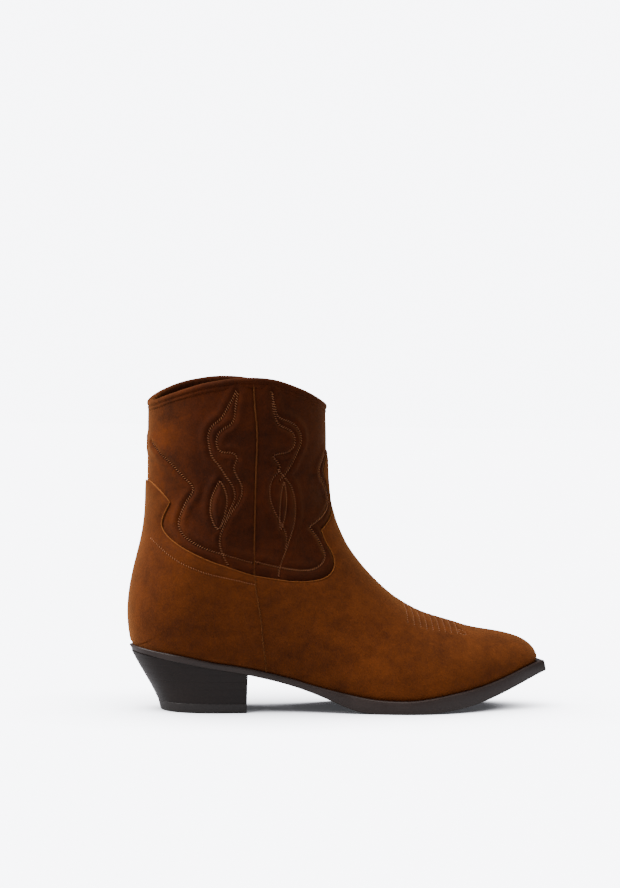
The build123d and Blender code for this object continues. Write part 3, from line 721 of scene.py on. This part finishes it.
TREAD = grained("tread", (0.010, 0.0065, 0.0056), (0.021, 0.0148, 0.013), 1.3, 1500.0,
                bump=0.35)
BOARD = grained("board", (0.36, 0.26, 0.16), (0.5, 0.38, 0.25), 2.0, 1600.0)
CANVAS = grained("canvas", (0.42, 0.38, 0.3), (0.6, 0.55, 0.46), 2.0, 1800.0)
CORK = grained("cork", (0.34, 0.19, 0.09), (0.52, 0.34, 0.18), 2.0, 500.0, bump=0.6)
STEEL = grained("steel", (0.45, 0.45, 0.46), (0.62, 0.62, 0.63), 0.8, 900.0, (8, 1, 1), 0.1,
                metallic=1.0)
BRASS = grained("brass", (0.5, 0.33, 0.13), (0.68, 0.48, 0.2), 0.8, 900.0, bump=0.1,
                metallic=1.0)


# ---- relief of the upper
ROW_DENT, ROW_DENT_WIDTH = 0.65, 1.0          # groove that a row pulls into the shaft
ROW_SWELL, ROW_SWELL_AT, ROW_SWELL_WIDTH = 0.75, 3.4, 2.4
EDGE_DENT, EDGE_DENT_WIDTH = 0.75, 1.5        # shaft beside the vamp's and counter's edges
SEAM_DENT, SEAM_DENT_WIDTH = 0.55, 1.2
THINNED_EDGE, THINNED_WIDTH = 0.7, 2.6        # vamp and counter towards their edges
COUNTER_DENT, COUNTER_DENT_WIDTH = 0.4, 0.9
TOE_DENT, TOE_DENT_WIDTH = 0.5, 0.8
TOE_SWELL, TOE_SWELL_WIDTH = 0.3, 4.5
CREVICE, CREVICE_WIDTH = 0.9, 1.3             # where the upper meets the sole
WAVE_COUNT, WAVE_SHORT, WAVE_LONG, WAVE_HEIGHT = 14, 22, 60, 0.16
FOOT_WAVES = 0.8


def puffed(outline, rise, edge, where):
    """Padding that lifts the leather inside a stitched outline."""
    depth = np.maximum(inside_by(where[:, [0, 2]], smooth_line(outline)), 0)
    return rise * (1 - bell(depth, edge))


def soft_waves(points):
    """Slow irregular swelling of hand-lasted leather."""
    random_wave = np.random.default_rng(SEED)
    total = np.zeros(len(points))
    for _ in range(WAVE_COUNT):
        heading = unit(random_wave.normal(size=3))
        length = random_wave.uniform(WAVE_SHORT, WAVE_LONG)
        phase = random_wave.uniform(0, 2 * math.pi)
        total += np.sin(points @ heading * (2 * math.pi / length) + phase)
    return WAVE_HEIGHT * total / math.sqrt(WAVE_COUNT)


laid_rows = lay_both([REAR_ROW, FRONT_ROW, FRONT_ROW_UP, REAR_OUTER, REAR_INNER, REAR_LEAF,
                      FRONT_OUTER, FRONT_STRAND, FRONT_INNER, FRONT_LEAF], OUTER_SKIN)
laid_vamp_edge = lay_both([VAMP_LOBE, VAMP_NECK, VAMP_TONGUE[:-1]], 0)
laid_counter_edge = lay_both([COUNTER_SWEEP, COUNTER_PEAK[:-1]], 0)
laid_counter_row = lay_both([COUNTER_ROW], 0)

on_shaft = (Z_GRID > 70) & (Z_GRID < 224) & (X_GRID < 152)
where = SKIN[on_shaft] - OUTER_SKIN * NORMAL[on_shaft]
row_gap = away_from(laid_rows, where)
edge_gap = away_from(laid_vamp_edge + laid_counter_edge, where)
seam_gap = away_from(lay_both([SHAFT_SEAM], OUTER_SKIN), where)
shaft_relief = np.zeros((ROWS, COLUMNS))
shaft_relief[on_shaft] = (
    ROW_SWELL * bell(row_gap - ROW_SWELL_AT, ROW_SWELL_WIDTH)
    - ROW_DENT * bell(row_gap, ROW_DENT_WIDTH)
    - EDGE_DENT * bell(edge_gap, EDGE_DENT_WIDTH)
    - SEAM_DENT * bell(seam_gap, SEAM_DENT_WIDTH)
    + np.maximum(puffed(REAR_LEAF, 1.15, 2.2, where), puffed(FRONT_LEAF, 0.35, 1.6, where))
)
waves = soft_waves(SKIN.reshape(-1, 3)).reshape(ROWS, COLUMNS)
shaft_surface = SKIN + (shaft_relief + waves - OUTER_SKIN)[:, :, None] * NORMAL

on_foot = Z_GRID < 176
where = SKIN[on_foot]
edge_gap = away_from(laid_vamp_edge + laid_counter_edge, where)
row_gap = away_from(laid_counter_row, where)
foot_relief = np.zeros((ROWS, COLUMNS))
foot_relief[on_foot] = (-THINNED_EDGE * bell(edge_gap, THINNED_WIDTH)
                        - COUNTER_DENT * bell(row_gap, COUNTER_DENT_WIDTH))


# ---- toe stitching
MEDALLION_ROWS = 9
MEDALLION_BACK, MEDALLION_FRONT = 182.0, 217.0
SPREAD_BACK, SPREAD_FRONT = 32.0, 24.0        # reach of a row to each side, round the foot
MEDALLION_LEAN = -2.5
LOOP_RADIUS = 3.0
LOOP_OUT = 20.0


def around_foot(x, arc):
    """Place on the skin at arc millimetres from the ridge, measured round the foot."""
    ridge_x = SKIN[: ROWS // 2, HALF_COLUMNS, 0]
    row = int(np.where(ridge_x >= x)[0][-1])
    share = (ridge_x[row] - x) / (ridge_x[row] - ridge_x[row + 1])
    ring = SKIN[row] * (1 - share) + SKIN[row + 1] * share
    run = along(ring)
    at = run[HALF_COLUMNS] + arc
    return read_off(ring, run, at), unit(read_off(NORMAL[row], run, at))


def laid_round(places):
    """Line over the foot through places given as distance x and arc from the ridge."""
    points, normals = (np.array(rows) for rows in zip(*(around_foot(*place) for place in places)))
    return softened(points, 12), normals


def medallion_lines():
    """Short rows that cross the toe, closed off by a small loop on each side."""
    lines = []
    for share in np.linspace(0, 1, MEDALLION_ROWS):
        x = MEDALLION_BACK + share * (MEDALLION_FRONT - MEDALLION_BACK)
        reach = SPREAD_BACK + share * (SPREAD_FRONT - SPREAD_BACK)
        arcs = np.linspace(-reach, reach, int(reach * 2 / 0.8))
        leans = MEDALLION_LEAN * (np.abs(arcs) / reach) ** 1.3
        lines.append(laid_round(zip(x + leans, arcs)))
    turn = np.linspace(0, 2 * math.pi, 26)
    for side in SIDES:
        lines.append(laid_round(zip(MEDALLION_FRONT + 1.5 + LOOP_RADIUS * np.cos(turn),
                                    side * (LOOP_OUT + LOOP_RADIUS * np.sin(turn)))))
    return lines


medallion = medallion_lines()
on_toe = (X_GRID > 170) & (X_GRID < 235) & (Z_GRID > 40)
row_gap = away_from(medallion, SKIN[on_toe])
foot_relief[on_toe] += (TOE_SWELL * bell(row_gap, TOE_SWELL_WIDTH)
                        - TOE_DENT * bell(row_gap, TOE_DENT_WIDTH))
above_sole = Z_GRID - feather_at(X_GRID)
foot_relief -= CREVICE * bell(np.maximum(above_sole, 0), CREVICE_WIDTH)
foot_surface = SKIN + (foot_relief + FOOT_WAVES * waves)[:, :, None] * NORMAL

# ---- upper
to_rim = rim_at(X_GRID) - Z_GRID
in_vamp = inside_grid(FOOT_SEAM[::-1], VAMP_LOBE, VAMP_NECK, VAMP_TONGUE,
                      [(136, 172), (300, 250)], [(300, 250), (300, -20)], [(300, -20), (88, -20)])
in_counter = inside_grid(FOOT_SEAM[::-1], COUNTER_SWEEP, COUNTER_PEAK,
                         [(0, 158), (-30, 158)], [(-30, 158), (-30, -20)], [(-30, -20), (88, -20)])
in_shaft = inside_grid(SHAFT_FOOT, [(158, 114), (158, 250)], [(158, 250), (-30, 250)],
                       [(-30, 250), (-30, 98)])
in_shaft = np.minimum(in_shaft, to_rim)
past_seam = X_GRID - seam_at(Z_GRID)
clear_of_sole = above_sole + TUCK + 0.2

for node_name, keep in (("vamp", in_vamp), ("counter", in_counter)):
    leather_piece(node_name, foot_surface, np.minimum(keep, clear_of_sole), OUTER_SKIN,
                  FOOT_SUEDE, "outer_suede")
for node_name, keep in (("shaft_front", past_seam), ("shaft_back", -past_seam)):
    leather_piece(node_name, shaft_surface, np.minimum(keep, in_shaft), SHAFT_SKIN,
                  SHAFT_SUEDE, "shaft_suede")


# ---- tubes and stitches
def tube(points, normals, radius, sides=8):
    """Points and faces of a tube laid along a line."""
    ahead = unit(np.gradient(points, axis=0))
    cross = unit(np.cross(ahead, normals))
    up = np.cross(cross, ahead)
    turn = 2 * math.pi * np.arange(sides)[:, None, None] / sides
    rings = points + radius * (np.cos(turn) * cross + np.sin(turn) * up)
    return rings.swapaxes(0, 1).reshape(-1, 3), tube_faces(len(points), sides)


# place along the stitch, thickness and rise of each ring of its bead
STITCH_RINGS = [(-0.5, 0.25, -0.32), (-0.38, 0.8, -0.05), (-0.12, 1.0, 0.1), (0.12, 1.0, 0.1),
                (0.38, 0.8, -0.05), (0.5, 0.25, -0.32)]
STITCH_SIDES = 6


def stitches(laid, lift=0.0, pitch=1.6, length=1.7, radius=0.36, skew=0.7):
    """Thread that shows along a laid line: one small bowed bead for each stitch."""
    line, normals = laid
    run = along(line)
    count = max(1, int(run[-1] / pitch))
    places = (np.arange(count) + 0.5) * run[-1] / count
    up = unit(read_off(normals, run, places))[:, None]
    heading = unit(read_off(np.gradient(line, axis=0), run, places))[:, None]
    side = unit(np.cross(heading, up))
    heading = unit(heading + skew * side)
    middle = read_off(line, run, places)[:, None]
    turn = 2 * math.pi * np.arange(STITCH_SIDES)[:, None] / STITCH_SIDES
    circle = np.cos(turn) * side + np.sin(turn) * up
    rings = [middle + at * length * heading + (lift + rise) * up + radius * fat * circle
             for at, fat, rise in STITCH_RINGS]
    bead_faces = tube_faces(len(STITCH_RINGS), STITCH_SIDES)
    return joined((bead, bead_faces) for bead in np.concatenate(rings, 1))


def thread_piece(name, parts):
    make_piece(name, *joined(parts), [THREAD], "outer_suede")


LEAN_BY_ROW = [1.0, 0.7, 0.7, 0.8, 0.8, 0.6, 0.8, 0.7, 0.8, 0.6]
leans = [1.5 * side * lean for lean in LEAN_BY_ROW for side in SIDES]
thread_piece("shaft_pattern_thread",
             [stitches(laid, -0.12, skew=lean) for laid, lean in zip(laid_rows, leans)])
thread_piece("counter_row_thread",
             [stitches(laid, -0.1, 1.7, 1.4, 0.26) for laid in laid_counter_row])
thread_piece("toe_pattern_thread",
             [stitches(laid, -0.06, 2.0, 1.5, 0.32, 0.0) for laid in medallion])

# ---- piping and cut edges
SHAFT_PIPING = [(70.5, rim_at(70.5) - 3.4)] + [place for place in SHAFT_SEAM if place[1] < 206]
FOOT_PIPING = [(75, 88.8)] + FOOT_SEAM[1:4] + [(84.6, 31), (85.4, 27)]
EDGE_BEAD, EDGE_BEAD_DEPTH = 0.34, 0.72

for side, label in zip(SIDES, ("outer", "inner")):
    make_piece(f"shaft_piping_{label}", *tube(*lay(SHAFT_PIPING, side, OUTER_SKIN - 0.05), 0.5),
               [PIPING_SUEDE], "outer_suede", [f"side_piping_{label}"])
    make_piece(f"foot_seam_{label}", *tube(*lay(FOOT_PIPING, side, -0.12), 0.45),
               [PIPING_SUEDE], "outer_suede")
# the beads along the vamp's and counter's edges are lighter suede: a painted highlight on edges
# that face the light
for name, laid in (("vamp_edge_bead", laid_vamp_edge), ("counter_edge_bead", laid_counter_edge)):
    beads = [tube(line - EDGE_BEAD_DEPTH * out, out, EDGE_BEAD, 7) for line, out in laid]
    make_piece(name, *joined(beads), [EDGE_HIGHLIGHT_SUEDE], "outer_suede")

# ---- top binding
# section of the binding: out from the shaft and down from its rim
BINDING_PROFILE = [(-0.35, 5.3), (0.12, 5.1), (0.4, 4.6), (0.42, 3.6), (0.3, 2.9), (0.42, 2.5),
                   (0.8, 2.0), (1.0, 1.2), (0.9, 0.2), (0.45, -0.55), (-0.3, -0.95),
                   (-1.2, -1.05), (-2.1, -0.75), (-2.8, 0.0), (-3.15, 1.2),
                   (-3.25, 3.0), (-3.1, 4.2), (-2.6, 4.9), (-2.1, 5.2)]


def rim_ring(surface):
    """Points, outward normals and downward headings where the skin meets the rim."""
    found = []
    for column in range(COLUMNS - 1):
        gap = to_rim[:, column]
        row = np.where((gap[:-1] > 0) & (gap[1:] <= 0))[0][-1]
        share = gap[row] / (gap[row] - gap[row + 1])
        strip = surface[:, column]
        found.append((strip[row] * (1 - share) + strip[row + 1] * share, NORMAL[row, column],
                      unit(strip[row - 3] - strip[row + 1])))
    return [softened_ring(np.array(rows), 6) for rows in zip(*found)]


rim_points, rim_out, rim_down = rim_ring(SKIN - OUTER_SKIN * NORMAL)
ripple = 1 + 0.03 * np.sin(np.arange(len(rim_points)) * 0.9)
binding = np.stack([rim_points + ripple[:, None] * out * rim_out + down * rim_down
                    for out, down in smooth_line(BINDING_PROFILE, 0.45)], 1)
make_piece("top_binding_roll", binding.reshape(-1, 3),
           grid_faces(*binding.shape[:2], wrap_rows=True, wrap_columns=False),
           [SHAFT_SUEDE], "shaft_suede", ["top_binding"])


# ---- inside
LINING_BASE = 6.0
LINING_END = 262
SOCK_TOP = 6.0
SOCK_ACROSS = 17
SOCK_ALONG = 84
PAD_RISE = 2.0
PAD_CENTRE = np.array([50.0, 0.0])
PAD_EDGE = [(84, 0), (80, 11), (66, 18), (45, 20), (26, 17.5), (16, 9), (13, 0),
            (16, -9), (26, -17.5), (45, -20), (66, -18), (80, -11), (84, 0)]
# share of the pad's outline and of its rise at each ring
PAD_RINGS = [(1.0, -0.1), (1.0, 0.175), (0.985, 0.375), (0.95, 0.525), (0.88, 0.675),
             (0.72, 0.85), (0.5, 0.95), (0.25, 0.99)]

lining_surface = SKIN - (TO_LINING - 0.05) * NORMAL
lining_keep = np.minimum.reduce([to_rim - 1.5, above_sole - LINING_BASE, LINING_END - X_GRID])
points, faces, _border = cut_from_skin(lining_surface, lining_keep)
make_piece("lining_skin", points, [face[::-1] for face in faces], [LINING], "lining",
           ["lining_front", "lining_back", "lining_vamp", "lining_heel"])


def inner_width(x, level, side):
    """Half width inside the boot at a height above the sole."""
    near = np.abs(lining_surface[:, :, 0] - x) < 1.2
    near &= np.abs(lining_surface[:, :, 2] - feather_at(x) - level) < 2.0
    near &= np.sign(lining_surface[:, :, 1]) == side
    return float(np.abs(lining_surface[:, :, 1][near]).max(initial=0.0))


sock_points = []
for x in np.linspace(8, 255, SOCK_ALONG):
    half = {side: max(inner_width(x, SOCK_TOP + 1.0, side) - 0.2, 0.05) for side in SIDES}
    for share in np.linspace(-1, 1, SOCK_ACROSS):
        z = feather_at(x) + SOCK_TOP + 0.05 - 0.21 * (1 - share**2)
        sock_points.append((x, share * half[-1 if share < 0 else 1], z))
sock_faces = [face[::-1] for face in grid_faces(SOCK_ALONG, SOCK_ACROSS, wrap_columns=False)]
make_piece("sock_sheet", sock_points, sock_faces, [SOCK], "sock", ["sock_lining"])

pad_outline = smooth_line(PAD_EDGE, 1.5)[:-1]
pad_plans = [PAD_CENTRE + share * (pad_outline - PAD_CENTRE) for share, _rise in PAD_RINGS]
pad_rings = [np.column_stack([plan, feather_at(plan[:, 0]) + SOCK_TOP + rise * PAD_RISE])
             for plan, (_share, rise) in zip(pad_plans, PAD_RINGS)]
pad_top = (*PAD_CENTRE, feather_at(PAD_CENTRE[0]) + SOCK_TOP + PAD_RISE)
around = len(pad_outline)
last = (len(PAD_RINGS) - 1) * around
pad_faces = grid_faces(len(PAD_RINGS), around) + [tuple(range(around))[::-1]]
pad_faces += [(last + k, last + (k + 1) % around, last + around) for k in range(around)]
heel_cushion = make_piece("heel_cushion", np.concatenate([*pad_rings, [pad_top]]), pad_faces,
                          [PAD], "pad", ["heel_pad"])

# ---- outsole
TOE_SLANT = 1.2            # how far the top of the toe's end stands behind its foot
TOE_SLANT_FROM, TOE_SLANT_TO = 262, 280
HEEL_LEAN_SIDE = 0.45      # lean of the edge over the heel: sides, back, and its top at the back
HEEL_LEAN_BACK = 2.1
HEEL_TOP_BACK = 0.9
# share of the thickness down from the top, inset and drop of each ring over the edge
SOLE_EDGE_RINGS = [
    (0, 3.4, 0.2), (0, 1.5, 0.25), (0, 0.9, 0.32), (0, 0.5, 0.5), (0, 0.2, 0.85),
    (0, 0.03, 1.4), (0.5, -0.02, 0.0), (1, 0.0, -0.7), (1, 0.12, -0.28), (1, 0.4, -0.06),
    (1, 0.8, 0.0), (1, 3.0, 0.0),
]

sole_outline = np.concatenate([smooth_line(SOLE_EDGE, 1.1), [(280, 8), (280, 0), (280, -8)]])
sole_centre = np.stack([np.clip(sole_outline[:, 0], 24, 262), 0 * sole_outline[:, 0]], 1)


def outward_of(plan, middle):
    """Outward direction at each point of a closed plan outline."""
    ahead = np.roll(plan, -1, 0) - np.roll(plan, 1, 0)
    out = unit(np.stack([-ahead[:, 1], ahead[:, 0]], 1))
    return out if ((plan - middle) * out).sum() > 0 else -out


sole_out = unit(softened_ring(outward_of(sole_outline, sole_centre), 10))


def sole_level(plan, share, drop):
    """A plan outline set at a share of the sole's thickness and lowered by drop."""
    x, y = plan.T
    z = feather_at(x) + share * (underside_at(x) - feather_at(x)) - drop
    slant = np.clip((x - TOE_SLANT_FROM) / (TOE_SLANT_TO - TOE_SLANT_FROM), 0, 1)
    return np.stack([x - slant * TOE_SLANT * (1 - share), y, z], 1)


def sole_ring(share, inset, drop):
    """Ring moved in from the sole's edge. Over the heel the edge leans in, so that it
    runs on into the heel's wall."""
    over_heel = np.clip((80 - sole_outline[:, 0]) / 8, 0, 1)
    round_back = np.clip((26 - sole_outline[:, 0]) / 26, 0, 1)
    leaning = share * (HEEL_LEAN_SIDE * over_heel + HEEL_LEAN_BACK * round_back)
    leaning = leaning + (1 - share) * HEEL_TOP_BACK * round_back
    return sole_level(sole_outline - (inset + leaning)[:, None] * sole_out, share, drop)


def sole_inner_ring(share, pull, drop):
    """Ring pulled towards the middle line of the sole."""
    return sole_level(sole_outline + pull * (sole_centre - sole_outline), share, drop)


sole = ([sole_inner_ring(0, pull, 0.1) for pull in (1.0, 0.6, 0.3)]
        + [sole_ring(*ring) for ring in SOLE_EDGE_RINGS]
        + [sole_inner_ring(1, pull, 0.0) for pull in (0.3, 0.6, 1.0)])
make_piece("outsole_leather", np.concatenate(sole), grid_faces(len(sole), len(sole_outline)),
           [SOLE], "sole_leather", ["outsole"])

# ---- heel
HEEL_STACKS = 7
HEEL_ROUND = [(1.35, 1), (0.62, 0.88), (0.17, 0.54)]   # back corner: steps of the half width
STACK_GROOVE, STACK_GROOVE_WIDTH = 0.13, 0.3
LIFT_LEVELS = (0.0, 0.15, 0.5, 1.2, 2.0, 3.0, 4.0, 5.0, 5.6, 5.95, LIFT_TOP_Z)


def heel_plan(back, half, inset):
    """D-shaped outline of one heel layer, from the outer front corner round the back."""
    outer_half = [(BREAST_X, -half)] + [(back + x * half, -y * half) for x, y in HEEL_ROUND]
    inner_half = [(x, -y) for x, y in outer_half[::-1]]
    wall = even(smooth_line(outer_half + [(back, 0)] + inner_half, 1.0), 120)
    y = np.linspace(half, -half, 33)[1:-1]
    breast = np.stack([BREAST_X - BREAST_HOLLOW * (1 - (y / half) ** 2), y], 1)
    plan = np.concatenate([wall, breast])
    return plan - inset * outward_of(plan, plan.mean(0))


def stack_mesh(levels):
    """Closed stack of rings, each a plan outline and its heights."""
    rings = [np.column_stack([plan, np.broadcast_to(height, len(plan))])
             for plan, height in levels]
    count = len(rings[0])
    low, last = len(rings) * count, (len(rings) - 1) * count
    faces = grid_faces(len(rings), count)
    for k in range(count):
        n = (k + 1) % count
        faces += [(n, k, low), (last + k, last + n, low + 1)]
    return np.concatenate([*rings, [rings[0].mean(0), rings[-1].mean(0)]]), faces


heel_levels = []
reached = None
heel_table = np.array(HEEL_SLICES[::-1], float)
lift_cuts = np.linspace(LIFT_TOP_Z, 40.0, HEEL_STACKS + 1)[1:-1]
for z in np.concatenate([np.arange(LIFT_TOP_Z, 38, 0.5), np.arange(38, 46.01, 0.5)]):
    back, half = natural_spline(heel_table[:, 0], heel_table[:, 1:], [z])[0]
    groove = STACK_GROOVE * bell(np.min(np.abs(lift_cuts - z)), STACK_GROOVE_WIDTH)
    groove += 0.08 * max(0, 1 - (z - LIFT_TOP_Z) / 0.6)
    plan = heel_plan(back, half, groove)
    heights = np.full(len(plan), z)
    if reached is not None:
        # above the sole's underside the wall stays at the last plan below it
        past = heights > underside_at(plan[:, 0])
        plan = np.where(past[:, None], reached, plan)
        heights = np.where(past, underside_at(plan[:, 0]), heights)
    reached = plan
    heel_levels.append((plan, heights))
make_piece("stacked_heel", *stack_mesh(heel_levels), [HEEL], "heel_leather", ["heel_block"])

lift_levels = []
lift_table = np.array(LIFT_SLICES[::-1], float)
for z in LIFT_LEVELS:
    back, half = read_off(lift_table[:, 1:], lift_table[:, 0], z)
    worn = 0.45 * max(0, 1 - z / 0.5) ** 2 + 0.1 * max(0, 1 - (LIFT_TOP_Z - z) / 0.4)
    lift_levels.append((heel_plan(back, half, worn), z))
make_piece("top_lift_rubber", *stack_mesh(lift_levels), [TREAD], "tread_rubber", ["top_lift"])

# ---- CAD pieces that stay
KEPT = {
    "heel_stiffener": CANVAS, "toe_puff": CANVAS, "vamp_interlining": CANVAS,
    "insole_board": BOARD, "bottom_filler": CORK, "steel_shank": STEEL, "heel_nails": STEEL,
    "heel_screw": STEEL, "top_lift_pins": BRASS,
}
for name, material in KEPT.items():
    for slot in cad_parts[name].material_slots:
        slot.material = material

# ---- studio
FLOOR_HALF = 6.0
BACKDROP = (0.93, 0.94, 1.0, 1)
BACKDROP_SEEN = 8.2        # glow of the wall and of the floor towards the camera alone
FLOOR_SEEN = 7.2
ROOM_LIGHT = 0.24
CONTACT_REACH = 0.1        # how far from the boot the painted contact shadow reaches


def paint_floor(tree):
    """Matt pale paint under a bright studio: a glow that only the camera sees makes it show near
    white, and that glow fades near the boot as a painted contact shadow beside the soft shadow the
    lamps cast.
    """
    tree.nodes.clear()
    paint = node(tree, "ShaderNodeBsdfDiffuse", {"Color": (0.55, 0.55, 0.57, 1), "Roughness": 0.5})
    seen = node(tree, "ShaderNodeLightPath").outputs["Is Camera Ray"]
    open_sky = node(tree, "ShaderNodeAmbientOcclusion", {"Distance": CONTACT_REACH}).outputs["AO"]
    # the camera-only glow is dimmed where ambient occlusion finds the boot near: a painted contact
    # shadow
    contact = maths(tree, "POWER", spread(tree, open_sky, 0.2, 0.97, 0.02, 1.0), 1.25)
    power = maths(tree, "MULTIPLY", maths(tree, "MULTIPLY", seen, FLOOR_SEEN), contact)
    glow = node(tree, "ShaderNodeEmission", {"Color": BACKDROP, "Strength": power})
    both = node(tree, "ShaderNodeAddShader", {0: paint.outputs[0], 1: glow.outputs[0]})
    node(tree, "ShaderNodeOutputMaterial", {"Surface": both.outputs[0]})


def soft_sun(name, toward, strength, spread_angle):
    """Even soft light that travels in the direction given."""
    lamp = bpy.data.lights.new(name, "SUN")
    lamp.energy = strength
    lamp.angle = math.radians(spread_angle)
    put(name, lamp).rotation_euler = Vector(toward).to_track_quat("-Z", "Y").to_euler()


far = FLOOR_HALF
floor_mesh = bpy.data.meshes.new("floor")
floor_mesh.from_pydata([(-far, -far, 0), (far, -far, 0), (far, far, 0), (-far, far, 0)], [],
                       [(0, 1, 2, 3)])
floor_material = bpy.data.materials.new("floor_paint")
floor_material.use_nodes = True
paint_floor(floor_material.node_tree)
floor_mesh.materials.append(floor_material)
floor = put("floor", floor_mesh)
floor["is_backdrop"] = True

soft_sun("key", (0.45, 0.15, -1.0), 5.4, 40)
soft_sun("rear_key", (1.0, -0.05, -0.6), 2.4, 35)
world = bpy.data.worlds.new("studio")
world.use_nodes = True
tree = world.node_tree
seen = node(tree, "ShaderNodeLightPath").outputs["Is Camera Ray"]
fill(tree, tree.nodes["Background"], {
    "Color": BACKDROP, "Strength": spread(tree, seen, 0.0, 1.0, ROOM_LIGHT, BACKDROP_SEEN)})
bpy.context.scene.world = world

# ---- camera
CAMERA_TURN = math.radians(-14)
CAMERA_TILT = math.radians(2.06)
CAMERA_ROLL = math.radians(1.2)
CAMERA_PLACE = (-0.4692, -1.7939, 0.2390)
CAMERA_LENS = 115.03
lens = bpy.data.cameras.new("camera")
lens.lens = CAMERA_LENS
lens.sensor_width = 36
lens.clip_start = 0.05
lens.clip_end = 50
lens.dof.use_dof = False
camera = put("camera", lens)
camera.matrix_world = (Matrix.Translation(CAMERA_PLACE) @ Matrix.Rotation(CAMERA_TURN, 4, "Z")
                       @ Matrix.Rotation(math.pi / 2 - CAMERA_TILT, 4, "X")
                       @ Matrix.Rotation(CAMERA_ROLL, 4, "Z"))
bpy.context.scene.camera = camera
